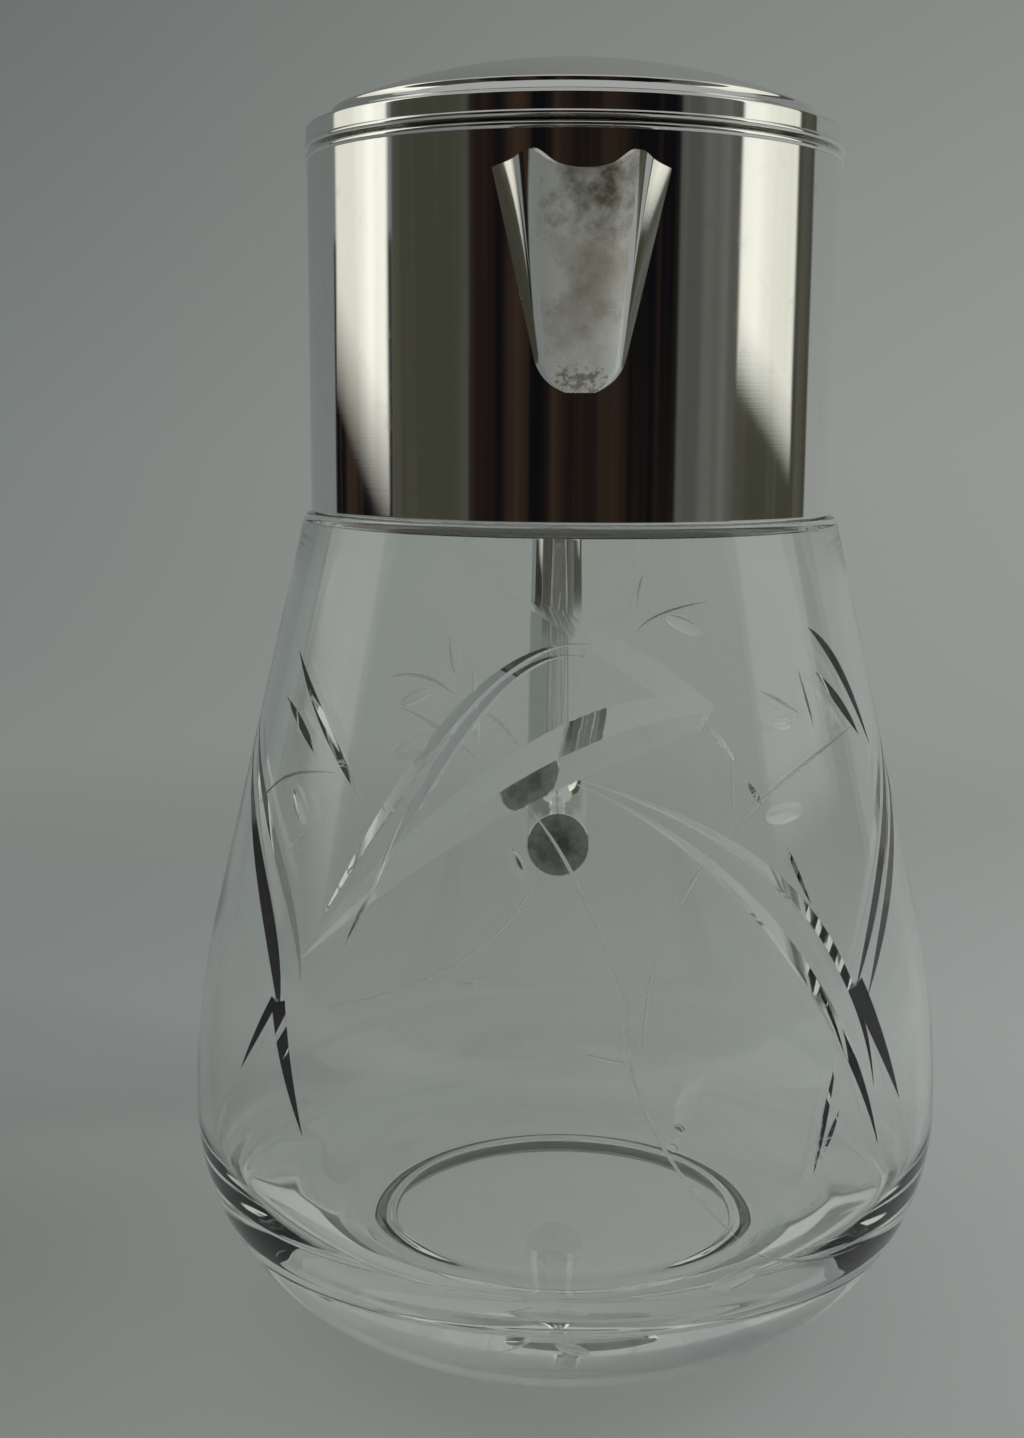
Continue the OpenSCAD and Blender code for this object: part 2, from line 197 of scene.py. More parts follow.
# %% [markdown]
# ## Nodes for finishes
# A finish is a small tree of nodes. Two helpers keep the trees readable: one adds a node with its
# settings and plain input values, the other joins an output to an input by name, or by number where two
# sockets share a name, as on the Mix nodes.


# %% Node helpers
def add(tree, kind, inputs=None, **settings):
    made = tree.nodes.new(kind)
    for key, value in settings.items():
        setattr(made, key, value)
    for key, value in (inputs or {}).items():
        made.inputs[key].default_value = value
    return made


def join(tree, from_node, output, to_node, to_input):
    tree.links.new(from_node.outputs[output], to_node.inputs[to_input])


def new_material(name):
    material = bpy.data.materials.new(name)
    material.use_nodes = True
    tree = material.node_tree
    tree.nodes.clear()
    shader = add(tree, "ShaderNodeBsdfPrincipled")
    out = add(tree, "ShaderNodeOutputMaterial")
    join(tree, shader, "BSDF", out, "Surface")
    return material, tree, shader


def new_group(name, inputs, outputs):
    tree = bpy.data.node_groups.new(name, "ShaderNodeTree")
    for label, kind, value in inputs:
        socket = tree.interface.new_socket(label, in_out="INPUT", socket_type=kind)
        socket.default_value = value
    for label, kind in outputs:
        tree.interface.new_socket(label, in_out="OUTPUT", socket_type=kind)
    return tree, add(tree, "NodeGroupInput"), add(tree, "NodeGroupOutput")


def place_group(tree, group, inputs):
    made = add(tree, "ShaderNodeGroup", node_tree=group)
    for key, value in inputs.items():
        made.inputs[key].default_value = value
    return made


def math_node(tree, operation, first, second):
    made = add(tree, "ShaderNodeMath", operation=operation)
    for i, value in enumerate((first, second)):
        if isinstance(value, tuple):
            tree.links.new(value[0].outputs[value[1]], made.inputs[i])
        else:
            made.inputs[i].default_value = value
    return made


# %% [markdown]
# ## Wear on silver plate
# Plate is polished by hand for years. It keeps soft smudges, hair scratches that run round the piece,
# faint waves left by the burnisher, and brown tarnish where the cloth does not reach. All the silver
# shares one group for this, and each finish sets how much of each it has. The waves and scratches leave
# the group as a height, because the bump belongs to the material's own shader. Larger stains have their own
# place, such as the tea-brown cloud on the beak and the soot on the handle's end. A stain is the distance
# from its middle, made ragged by a noise, and it is mixed in before the colour reaches the shader.

# %% The plate wear group
FLOAT, COLOUR = "NodeSocketFloat", "NodeSocketColor"
plate_wear, wear_in, wear_out = new_group(
    "plate_wear",
    [("Silver", COLOUR, (0.87, 0.865, 0.85, 1)), ("Tarnish Colour", COLOUR, (0.33, 0.27, 0.19, 1)),
     ("Polish", FLOAT, 0.05), ("Smudge", FLOAT, 0.08), ("Tarnish", FLOAT, 0.2), ("Scratches", FLOAT, 0.5)],
    [("Colour", COLOUR), ("Roughness", FLOAT), ("Height", FLOAT)])
place = add(plate_wear, "ShaderNodeTexCoord")
smudge = add(plate_wear, "ShaderNodeTexNoise", {"Scale": 26.0, "Detail": 5.0, "Roughness": 0.6})
spots = add(plate_wear, "ShaderNodeTexNoise", {"Scale": 190.0, "Detail": 6.0, "Roughness": 0.65})
waves = add(plate_wear, "ShaderNodeTexNoise", {"Scale": 22.0, "Detail": 1.0})
stretch = add(plate_wear, "ShaderNodeMapping", {"Scale": (9.0, 9.0, 2600.0)})
hairs = add(plate_wear, "ShaderNodeTexNoise", {"Scale": 1.0, "Detail": 3.0})
for texture in (smudge, spots, waves):
    join(plate_wear, place, "Object", texture, "Vector")
join(plate_wear, place, "Object", stretch, "Vector")
join(plate_wear, stretch, "Vector", hairs, "Vector")
spot_mask = add(plate_wear, "ShaderNodeMapRange", {"From Min": 0.56, "From Max": 0.74})
join(plate_wear, spots, "Fac", spot_mask, "Value")
tarnish = math_node(plate_wear, "MULTIPLY", (spot_mask, "Result"), (wear_in, "Tarnish"))
tint = add(plate_wear, "ShaderNodeMix", data_type="RGBA")
join(plate_wear, tarnish, 0, tint, "Factor")
join(plate_wear, wear_in, "Silver", tint, 6)
join(plate_wear, wear_in, "Tarnish Colour", tint, 7)
join(plate_wear, tint, 2, wear_out, "Colour")
cloud = math_node(plate_wear, "MULTIPLY", (smudge, "Fac"), (wear_in, "Smudge"))
base = math_node(plate_wear, "ADD", (cloud, 0), (wear_in, "Polish"))
dull = math_node(plate_wear, "MULTIPLY", (tarnish, 0), 0.3)
rough = math_node(plate_wear, "ADD", (base, 0), (dull, 0))
join(plate_wear, rough, 0, wear_out, "Roughness")
fine = math_node(plate_wear, "MULTIPLY", (hairs, "Fac"), (wear_in, "Scratches"))
scaled = math_node(plate_wear, "MULTIPLY", (fine, 0), 0.02)
height = math_node(plate_wear, "ADD", (waves, "Fac"), (scaled, 0))
join(plate_wear, height, 0, wear_out, "Height")
print("plate_wear:", len(plate_wear.nodes), "nodes")


# %% A silver finish
def silver_finish(name, wave_height, **wear):
    material, tree, shader = new_material(name)
    shader.inputs["Metallic"].default_value = 1.0
    group = place_group(tree, plate_wear, wear)
    bump = add(tree, "ShaderNodeBump", {"Strength": 1.0, "Distance": wave_height})
    join(tree, group, "Colour", shader, "Base Color")
    join(tree, group, "Roughness", shader, "Roughness")
    join(tree, group, "Height", bump, "Height")
    join(tree, bump, "Normal", shader, "Normal")
    return material


# %% A stain with a ragged edge
def add_stain(material, middle, size, grain, raggedness, stain_colour):
    tree = material.node_tree
    shader = next(n for n in tree.nodes if n.type == "BSDF_PRINCIPLED")
    clean = shader.inputs["Base Color"].links[0].from_socket
    coords = add(tree, "ShaderNodeTexCoord")
    scale = [1 / s for s in size]
    shift = [-m / s for m, s in zip(middle, size)]
    nearby = add(tree, "ShaderNodeMapping", {"Location": shift, "Scale": scale})
    reach = add(tree, "ShaderNodeVectorMath", operation="LENGTH")
    noise = add(tree, "ShaderNodeTexNoise", {"Scale": grain, "Detail": 6.0, "Roughness": 0.65})
    join(tree, coords, "Object", nearby, "Vector")
    join(tree, nearby, "Vector", reach, "Vector")
    join(tree, coords, "Object", noise, "Vector")
    ragged = math_node(tree, "MULTIPLY", (noise, "Fac"), raggedness)
    edge = math_node(tree, "ADD", (reach, "Value"), (ragged, 0))
    fade = add(tree, "ShaderNodeMapRange", {"From Min": 0.5 * raggedness, "From Max": 1 + 0.5 * raggedness,
                                            "To Min": 1.0, "To Max": 0.0})
    tint = add(tree, "ShaderNodeMix", data_type="RGBA")
    tint.inputs[7].default_value = stain_colour
    join(tree, edge, "Value", fade, "Value")
    join(tree, fade, "Result", tint, "Factor")
    tree.links.new(clean, tint.inputs[6])
    join(tree, tint, 2, shader, "Base Color")


# %% Three silver finishes
mirror_plate = silver_finish("mirror_plate", 0.12 * MM, Polish=0.03, Smudge=0.06, Tarnish=0.12)
beak_plate = silver_finish("beak_plate", 0.2 * MM, Polish=0.2, Smudge=0.14, Tarnish=0.3,
                           Silver=(0.88, 0.85, 0.80, 1))
dull_plate = silver_finish("dull_plate", 0.2 * MM, Polish=0.3, Smudge=0.2, Tarnish=1.0,
                           Silver=(0.42, 0.41, 0.39, 1))
WIDE = 1.0
TEA_BROWN = (0.17, 0.14, 0.10, 1)
PALE_TEA = (0.42, 0.36, 0.28, 1)
SPECKS = (0.4, 0.35, 0.28, 1)
SOOT = (0.06, 0.06, 0.057, 1)
add_stain(beak_plate, (3 * MM, 0, 221 * MM), (9 * MM, WIDE, 9 * MM), 260.0, 2.4, TEA_BROWN)
add_stain(beak_plate, (1 * MM, 0, 206 * MM), (8 * MM, WIDE, 16 * MM), 120.0, 2.2, PALE_TEA)
add_stain(beak_plate, (0, 0, 190.5 * MM), (5 * MM, WIDE, 2.2 * MM), 800.0, 9.0, SPECKS)
add_stain(dull_plate, (0, 0, 78 * MM), (7.5 * MM, WIDE, 7.5 * MM), 330.0, 2.6, SOOT)
print("silver finishes:", mirror_plate.name, beak_plate.name, dull_plate.name)

# %% [markdown]
# ## Glass
# Clear glass is a transmissive shader with an index of 1.5. Blown glass is never quite even, so a wide,
# low noise bends its reflections a little. The cuts are polished again after grinding and keep fine lines
# and a faint haze, the small share of their shader that does not transmit. The thin stems are left as the
# stone cut them, matt and whitish. A path tracer finds few of the paths that light takes through two bent
# walls to the table, and the jug's shadow comes out black. The shadow rays are therefore let through with
# a small loss, which is what the eye sees. Light is also mirrored many times inside a thick base or a steep
# cut before it finds its way out. A path that is given up too early leaves a black patch, so paths may be
# long here.

# %% Glass finishes
GLASS_INDEX = 1.5
SHADOW_TINT = (0.985, 0.99, 0.985, 1)
LONGEST_PATH = 24
scene.cycles.max_bounces = LONGEST_PATH
scene.cycles.glossy_bounces = LONGEST_PATH
scene.cycles.transmission_bounces = LONGEST_PATH
blown_glass, glass_tree, glass_shader = new_material("blown_glass")
cut_glass, cut_tree, cut_shader = new_material("cut_glass")
matt_glass, matt_tree, matt_shader = new_material("matt_glass")
CLEAR, GROUND = (0.985, 0.995, 0.985, 1), (0.93, 0.95, 0.94, 1)
for shader, tint_colour in ((glass_shader, CLEAR), (cut_shader, CLEAR), (matt_shader, GROUND)):
    shader.inputs["Transmission Weight"].default_value = 1.0
    shader.inputs["IOR"].default_value = GLASS_INDEX
    shader.inputs["Base Color"].default_value = tint_colour
GROUND_HAZE = 0.05
cut_shader.inputs["Transmission Weight"].default_value = 1.0 - GROUND_HAZE
for tree, shader, scale, detail, distance, low, high in (
        (glass_tree, glass_shader, 30.0, 1.0, 0.06 * MM, 0.0, 0.012),
        (cut_tree, cut_shader, 900.0, 2.0, 0.004 * MM, 0.0, 0.03),
        (matt_tree, matt_shader, 2400.0, 3.0, 0.02 * MM, 0.35, 0.6)):
    coords = add(tree, "ShaderNodeTexCoord")
    noise = add(tree, "ShaderNodeTexNoise", {"Scale": scale, "Detail": detail})
    film = add(tree, "ShaderNodeMapRange", {"To Min": low, "To Max": high})
    bump = add(tree, "ShaderNodeBump", {"Distance": distance})
    join(tree, coords, "Object", noise, "Vector")
    join(tree, noise, "Fac", film, "Value")
    join(tree, film, "Result", shader, "Roughness")
    join(tree, noise, "Fac", bump, "Height")
    join(tree, bump, "Normal", shader, "Normal")
    rays = add(tree, "ShaderNodeLightPath")
    through = add(tree, "ShaderNodeBsdfTransparent", {"Color": SHADOW_TINT})
    choose = add(tree, "ShaderNodeMixShader")
    out = tree.nodes["Material Output"]
    join(tree, rays, "Is Shadow Ray", choose, "Fac")
    join(tree, shader, "BSDF", choose, 1)
    join(tree, through, "BSDF", choose, 2)
    join(tree, choose, "Shader", out, "Surface")
print("glass finishes:", blown_glass.name, cut_glass.name, matt_glass.name)

# %% [markdown]
# ## The glass body
# The jug's outside is four curves that run into each other: a round heel, a long belly arc, a straight
# cone and a small shoulder. The inside follows it a wall's thickness further in, down to a wide flat floor
# on a thick base, which gives the empty jug its weight. The mark of the blowing iron is ground away from
# below and leaves a hollow, whose rounded edge shows as a ring through the base. Turned together the
# curves are one closed piece of glass, so light bends at both faces.

# %% Plan the glass section
_, glass_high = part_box("glass_body")
collar_low, collar_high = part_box("collar")
BELLY_R = glass_high.x
SLEEVE_R = collar_high.x
GLASS_H = collar_low.z
NECK_TOP_Z = glass_high.z
BELLY_Z = 45 * MM
BASE_R = 42 * MM
HOLLOW_R = 35 * MM
HOLLOW_EDGE_R = 41.5 * MM
HOLLOW_H = 6 * MM
BELLY_ARC_R = 170 * MM
GLASS_WALL = 3 * MM
FLOOR_Z = 23 * MM
FLOOR_FLAT_R = 57 * MM
CIRCLE_HANDLE = 0.5523
SHOULDER_R = 1.8 * MM
SHOULDER_INSET = 0.25 * MM
SHOULDER_GAP = 0.15 * MM
NECK_R = SLEEVE_R - 2.9 * MM
NECK_IN_R = NECK_R - 2.5 * MM
THROAT_H = 2.6 * MM

shoulder_z = GLASS_H - SHOULDER_GAP
shoulder_c = Vector((SLEEVE_R - SHOULDER_INSET, shoulder_z - SHOULDER_R))
belly_c = Vector((BELLY_R - BELLY_ARC_R, BELLY_Z))
across = shoulder_c - belly_c
side_lean = math.atan2(across.y, across.x) - math.acos((BELLY_ARC_R - SHOULDER_R) / across.length)
side_normal = Vector((math.cos(side_lean), math.sin(side_lean)))
side_degrees = math.degrees(side_lean)
heel_w = BELLY_R - BASE_R
heel_r = (heel_w ** 2 + BELLY_Z ** 2) / (2 * heel_w)
heel_c = Vector((BELLY_R - heel_r, BELLY_Z))
heel_degrees = math.degrees(math.atan2(BELLY_Z, BASE_R - heel_c.x))
cone_start = belly_c + BELLY_ARC_R * side_normal
slope = math.tan(side_lean)
edge_reach = 0.6 * (HOLLOW_EDGE_R - HOLLOW_R)
print("side leans", round(side_degrees, 1), "degrees, heel radius in mm:", round(heel_r / MM, 1))

# %% Draw and turn the glass
LIP_R = 0.8 * MM
bm = bmesh.new()
tip = pen_at(bm, 0, HOLLOW_H)
tip = steps_to(bm, tip, HOLLOW_R, HOLLOW_H, 6)
tip = curve_to(bm, tip, (HOLLOW_R + edge_reach, HOLLOW_H), (HOLLOW_EDGE_R - edge_reach, 0),
               (HOLLOW_EDGE_R, 0), 16)
tip = line_to(bm, tip, BASE_R, 0)
tip = arc_to(bm, tip, heel_c, heel_degrees, 30)
tip = arc_to(bm, tip, belly_c, side_degrees, 16)
cone_end = shoulder_c + SHOULDER_R * side_normal
tip = steps_to(bm, tip, cone_end.x, cone_end.y, 28)
tip = arc_to(bm, tip, shoulder_c, 90 - side_degrees, 10)
tip = line_to(bm, tip, NECK_R, shoulder_z)
tip = line_to(bm, tip, NECK_R, NECK_TOP_Z - LIP_R)
tip = arc_to(bm, tip, (NECK_R - LIP_R, NECK_TOP_Z - LIP_R), 90, 4)
tip = line_to(bm, tip, NECK_IN_R + LIP_R, NECK_TOP_Z)
tip = arc_to(bm, tip, (NECK_IN_R + LIP_R, NECK_TOP_Z - LIP_R), 90, 4)
tip = line_to(bm, tip, NECK_IN_R, GLASS_H + 0.5 * MM)
inner_start = belly_c + (BELLY_ARC_R - GLASS_WALL) * side_normal
throat_z = GLASS_H - THROAT_H
throat_r = inner_start.x - (throat_z - inner_start.y) * slope
throat_reach = 1.4 * MM
tip = curve_to(bm, tip, (NECK_IN_R, GLASS_H - throat_reach),
               (throat_r - throat_reach * slope, throat_z + throat_reach), (throat_r, throat_z), 14)
tip = steps_to(bm, tip, inner_start.x, inner_start.y, 6)
tip = arc_to(bm, tip, belly_c, -side_degrees, 10)
inner_r = tip.co.x
corner_w, corner_h = inner_r - FLOOR_FLAT_R, BELLY_Z - FLOOR_Z
tip = curve_to(bm, tip, (inner_r, BELLY_Z - CIRCLE_HANDLE * corner_h),
               (FLOOR_FLAT_R + CIRCLE_HANDLE * corner_w, FLOOR_Z), (FLOOR_FLAT_R, FLOOR_Z), 30)
tip = steps_to(bm, tip, 0, FLOOR_Z, 6)
turn(bm)
mark_edges(bm)
glass_body = make_object("cut_glass_jug", bm, [blown_glass, cut_glass, matt_glass])
print("glass:", len(glass_body.data.polygons), "faces before the cuts")

# %% [markdown]
# ## The rim ring, the lid and its liner
# The ring stiffens the collar's upper edge and gives the lid a seat. The lid is spun from sheet: a round
# bead at the lower edge, an upright band, a hollow step and a low dome, each divided by a bright edge.
# Those edges are small arcs in the section, since a razor-sharp edge would catch no light.

# %% Turn the rim ring
rim_low, rim_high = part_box("rim_ring")
RIM_Z = rim_high.z
RIM_R = rim_high.x
RIM_T = 1.3 * MM
SHEET_T = 0.9 * MM
SEAT_R = SLEEVE_R - 4.6 * MM
RING_SKIRT_R = SLEEVE_R - SHEET_T
RING_SKIRT_T = 1.2 * MM

bm = bmesh.new()
start = tip = pen_at(bm, SEAT_R, RIM_Z)
tip = line_to(bm, tip, SEAT_R, RIM_Z - RIM_T)
tip = line_to(bm, tip, RING_SKIRT_R - RING_SKIRT_T, RIM_Z - RIM_T)
tip = line_to(bm, tip, RING_SKIRT_R - RING_SKIRT_T, rim_low.z)
tip = line_to(bm, tip, RING_SKIRT_R, rim_low.z)
tip = line_to(bm, tip, RING_SKIRT_R, RIM_Z - RIM_T)
tip = line_to(bm, tip, RIM_R - RIM_T / 2, RIM_Z - RIM_T)
tip = arc_to(bm, tip, (RIM_R - RIM_T / 2, RIM_Z - RIM_T / 2), 180, 12)
bm.edges.new((tip, start))
turn(bm)
make_piece("rim_ring_turned", bm, mirror_plate, "jug", "rim_ring")

# %% Plan the lid
lid_low, lid_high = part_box("lid_dome")
LID_Z = lid_low.z
APEX_Z = lid_high.z
LID_BEAD = 0.4 * MM
LID_R = lid_high.x - LID_BEAD
BAND_Z = LID_Z + 4 * MM
STEP_W = 4 * MM
STEP_H = 2.7 * MM
DOME_R = LID_R - STEP_W
DOME_Z = BAND_Z + STEP_H
DOME_H = APEX_Z - DOME_Z
EDGE_R = 0.45 * MM
HAIR = 0.15 * MM
BEAD_R = 0.6 * MM
bead_z = LID_Z + 0.3 * MM
bead_degrees = math.degrees(math.acos((BEAD_R - LID_BEAD) / BEAD_R))
bead_half = BEAD_R * math.sin(math.radians(bead_degrees))
cap_r = (DOME_R ** 2 + DOME_H ** 2) / (2 * DOME_H)
cap_degrees = math.degrees(math.asin(DOME_R / cap_r))
cap_c = (0, APEX_Z - cap_r)
print("lid dome radius in mm:", round(cap_r / MM, 1))

# %% Turn the lid
bm = bmesh.new()
tip = pen_at(bm, 0, APEX_Z)
tip = arc_to(bm, tip, cap_c, -(cap_degrees - 0.6), 30)
edge_c = (tip.co.x - EDGE_R * math.sin(math.radians(cap_degrees)),
          tip.co.z - EDGE_R * math.cos(math.radians(cap_degrees)))
tip = arc_to(bm, tip, edge_c, -(90 - cap_degrees + 15), 8)
cove_end = (LID_R - EDGE_R, BAND_Z)
tip = curve_to(bm, tip, (tip.co.x + 0.1 * MM, BAND_Z + 0.5 * STEP_H),
               (LID_R - 0.6 * STEP_W, BAND_Z + 0.05 * MM), cove_end, 14)
tip = arc_to(bm, tip, (LID_R - EDGE_R, BAND_Z - EDGE_R), -90, 6)
tip = line_to(bm, tip, LID_R, BAND_Z - EDGE_R - HAIR)
tip = line_to(bm, tip, LID_R, bead_z + BEAD_R + HAIR)
tip = line_to(bm, tip, LID_R, bead_z + bead_half)
tip = arc_to(bm, tip, (LID_R + LID_BEAD - BEAD_R, bead_z), -2 * bead_degrees, 12)
tip = line_to(bm, tip, LID_R - SHEET_T, bead_z - bead_half)
tip = line_to(bm, tip, LID_R - SHEET_T, LID_Z)
tip = line_to(bm, tip, LID_R - SHEET_T, BAND_Z - SHEET_T)
tip = curve_to(bm, tip, (LID_R - 0.6 * STEP_W, BAND_Z - SHEET_T), (DOME_R - SHEET_T, BAND_Z),
               (DOME_R - SHEET_T, DOME_Z - SHEET_T), 8)
tip = curve_to(bm, tip, (0.6 * DOME_R, DOME_Z + 0.62 * DOME_H), (0.3 * DOME_R, APEX_Z - SHEET_T),
               (0, APEX_Z - SHEET_T), 20)
turn(bm)
make_piece("lid_spun", bm, mirror_plate, "lid", "lid_dome")

# %% Turn the lid's liner
liner_low, liner_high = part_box("lid_liner")
LINER_R = liner_high.x
SKIRT_R = SEAT_R - 0.8 * MM
FLANGE_Z = RIM_Z + 0.3 * MM
LINER_SEAT_W = 2.2 * MM

bm = bmesh.new()
start = tip = pen_at(bm, SKIRT_R - SHEET_T, liner_low.z)
for r, z in ((SKIRT_R, liner_low.z), (SKIRT_R, FLANGE_Z), (SEAT_R + LINER_SEAT_W, FLANGE_Z),
             (LINER_R, LID_Z), (LINER_R, liner_high.z), (SKIRT_R - SHEET_T, liner_high.z)):
    tip = line_to(bm, tip, r, z)
bm.edges.new((tip, start))
turn(bm)
make_piece("lid_liner_turned", bm, mirror_plate, "lid", "lid_liner")

# %% [markdown]
# ## The collar
# The collar is a drawn sleeve. Its lower edge is rolled to a soft round, and behind the beak it is
# punched as a strainer that holds back ice and fruit. The holes are cut with a Boolean, which leaves
# uneven faces. On a mirror those would show as dents, so the smooth normals of the uncut sleeve are
# carried over to every corner that still lies on its surface.


# %% Cut a turned piece and keep its polish
def cut_with(piece, cutters, sharp_degrees):
    for i, cutter in enumerate(cutters):
        boolean = piece.modifiers.new(f"cut_{i}", "BOOLEAN")
        boolean.operation = "DIFFERENCE"
        boolean.solver = "MANIFOLD"
        boolean.object = cutter
    smooth = piece.data
    shown = piece.evaluated_get(bpy.context.evaluated_depsgraph_get())
    piece.data = bpy.data.meshes.new_from_object(shown)
    piece.modifiers.clear()
    for cutter in cutters:
        bpy.data.meshes.remove(cutter.data)
    piece.data.set_sharp_from_angle(angle=math.radians(sharp_degrees))
    keep_polish(piece.data, smooth)
    bpy.data.meshes.remove(smooth)


def keep_polish(mesh, smooth):
    points = [v.co for v in smooth.vertices]
    faces = [list(p.vertices) for p in smooth.polygons]
    surface = BVHTree.FromPolygons(points, faces)
    polish = [n.vector.copy() for n in smooth.corner_normals]
    normals = [n.vector.copy() for n in mesh.corner_normals]
    for face in mesh.polygons:
        if face.material_index != 0:
            continue
        middle = Vector(face.center)
        for corner in face.loop_indices:
            at = mesh.vertices[mesh.loops[corner].vertex_index].co.lerp(middle, 0.02)
            found = surface.find_nearest(at)
            source = smooth.polygons[found[2]]
            if source.normal.dot(face.normal) < 0.8:
                continue
            weights = poly_3d_calc([points[i] for i in source.vertices], found[0])
            blend = Vector((0, 0, 0))
            for weight, loop in zip(weights, source.loop_indices):
                blend += weight * polish[loop]
            normals[corner] = blend.normalized()
    mesh.normals_split_custom_set(normals)


# %% Turn the collar
SLEEVE_TOP_Z = collar_high.z
bm = bmesh.new()
start = tip = pen_at(bm, SLEEVE_R, SLEEVE_TOP_Z)
tip = steps_to(bm, tip, SLEEVE_R, GLASS_H + SHEET_T, 12)
tip = line_to(bm, tip, SLEEVE_R, GLASS_H + SHEET_T / 2)
tip = arc_to(bm, tip, (SLEEVE_R - SHEET_T / 2, GLASS_H + SHEET_T / 2), -180, 8)
tip = steps_to(bm, tip, SLEEVE_R - SHEET_T, SLEEVE_TOP_Z, 12)
bm.edges.new((tip, start))
turn(bm)
mark_edges(bm)
collar = make_object("collar_sleeve", bm, [mirror_plate])

# %% Punch the strainer
HOLE_R = 1.9 * MM
HOLE_PITCH = 5.8 * MM
HOLE_ROWS = 5
FIRST_ROW_Z = GLASS_H + 29.5 * MM
row_h = HOLE_PITCH * math.sqrt(3) / 2
HOLES_IN_ROW = (2, 3, 4, 3, 4)

bm = bmesh.new()
for row in range(HOLE_ROWS):
    count = HOLES_IN_ROW[row]
    for i in range(count):
        x = (i - (count - 1) / 2) * HOLE_PITCH
        at = Matrix.Translation((x, -SLEEVE_R, FIRST_ROW_Z + row * row_h))
        bmesh.ops.create_cone(bm, cap_ends=True, segments=24, radius1=HOLE_R, radius2=HOLE_R,
                              depth=12 * MM, matrix=at @ Matrix.Rotation(math.pi / 2, 4, "X"))
punch = make_object("strainer_punch", bm, [])
cut_with(collar, [punch], SHARP_DEGREES)
settle(collar, "jug", "collar")

# %% [markdown]
# ## The beak
# The beak is one sheet, pressed over a form and soldered to the collar along its edges. A flat grid
# stands for that sheet: one direction runs from edge to edge, the other from the tip up to the lip. Each
# level is bent to a trapezium with rounded folds, then the sheet gets its thickness. The face between the
# folds has gone satin with use, and the wings beside it kept their polish.

# %% Plan the beak
SPOUT_TIP_Z = GLASS_H + 22.5 * MM
SPOUT_H = 38 * MM
SPOUT_OUT = 15 * MM
SPOUT_T = 1 * MM
SPOUT_ROUND_R = 8.2 * MM
SPOUT_FLARE = math.radians(13)
SPOUT_FACE = 0.6
SPOUT_FOLD = 6
SPOUT_CROWDING = 1.5
SPOUT_SHARP_DEGREES = 50
LIP_PEAK = 1.4 * MM
LIP_DIP = 2.4 * MM
SPOUT_START = 0.4 * MM


def beak_half_width(dz):
    touch = SPOUT_ROUND_R * (1 - math.sin(SPOUT_FLARE))
    if dz < touch:
        return math.sqrt(max(0, SPOUT_ROUND_R ** 2 - (SPOUT_ROUND_R - dz) ** 2))
    return SPOUT_ROUND_R * math.cos(SPOUT_FLARE) + (dz - touch) * math.tan(SPOUT_FLARE)


def beak_bend(across_sheet):
    c, s = math.sin(across_sheet * math.pi / 2), math.cos(across_sheet * math.pi / 2)
    k = (abs(c) ** SPOUT_FOLD + abs(s) ** SPOUT_FOLD) ** (1 / SPOUT_FOLD)
    return c / k, max(0, s / k)


def beak_point(across_sheet, up):
    side, front = beak_bend(across_sheet)
    at_fold = 4 * abs(side * front) ** SPOUT_FOLD
    top = SPOUT_H + LIP_PEAK * at_fold - LIP_DIP * front * (1 - side ** 2)
    dz = SPOUT_START + (top - SPOUT_START) * up
    x = side * beak_half_width(dz) * (1 - (1 - SPOUT_FACE) * math.sqrt(up) * front)
    out = (SPOUT_T + (SPOUT_OUT - SPOUT_T) * up) * front
    return Vector((x, -math.sqrt(SLEEVE_R ** 2 - x * x) - out, SPOUT_TIP_Z + dz))


# %% Bend the sheet
bm = bmesh.new()
bmesh.ops.create_grid(bm, x_segments=96, y_segments=56, size=1.0)
SATIN_FACE, POLISHED_WING = 0, 1
for face in bm.faces:
    side, front = beak_bend(face.calc_center_median().x)
    face.material_index = SATIN_FACE if abs(side) < front else POLISHED_WING
for v in bm.verts:
    v.co = beak_point(v.co.x, ((1 + v.co.y) / 2) ** SPOUT_CROWDING)
bmesh.ops.recalc_face_normals(bm, faces=bm.faces[:])
if sum(f.normal.y for f in bm.faces) > 0:
    bmesh.ops.reverse_faces(bm, faces=bm.faces[:])
bmesh.ops.solidify(bm, geom=bm.faces[:], thickness=SPOUT_T)
tidy(bm)
mark_edges(bm, SPOUT_SHARP_DEGREES)
beak = make_object("beak_pressed", bm, [beak_plate, mirror_plate])
settle(beak, "jug", "spout")

# %% [markdown]
# ## The handle
# The handle is a tube, bent twice and a little wider at its lower end, held by the collar alone. A ring
# of vertices walks along the tube: extruding it draws the straight runs and spinning it draws the bends.

# %% Walk a ring along the tube
_, tube_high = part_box("handle_tube")
cap_low, cap_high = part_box("handle_end_cap")
TUBE_TOP_R = 7 * MM
TUBE_END_R = cap_high.x
TUBE_T = 1.2 * MM
BEND_R = 20 * MM
ARM_Z = tube_high.z - TUBE_TOP_R
END_Z = (cap_low.z + cap_high.z) / 2
UPRIGHT_Y = tube_high.y - TUBE_END_R
BEND_Y = UPRIGHT_Y - BEND_R
TUBE_END_Y = cap_high.y


def ring_of(geom):
    return [g for g in geom if isinstance(g, bmesh.types.BMEdge)]


def push_ring(bm, ring, offset, grow=1.0):
    made = bmesh.ops.extrude_edge_only(bm, edges=ring)["geom"]
    verts = [g for g in made if isinstance(g, bmesh.types.BMVert)]
    middle = sum((v.co for v in verts), Vector()) / len(verts)
    for v in verts:
        v.co = middle + (v.co - middle) * grow + Vector(offset)
    return [e for e in ring_of(made) if all(v in verts for v in e.verts)]


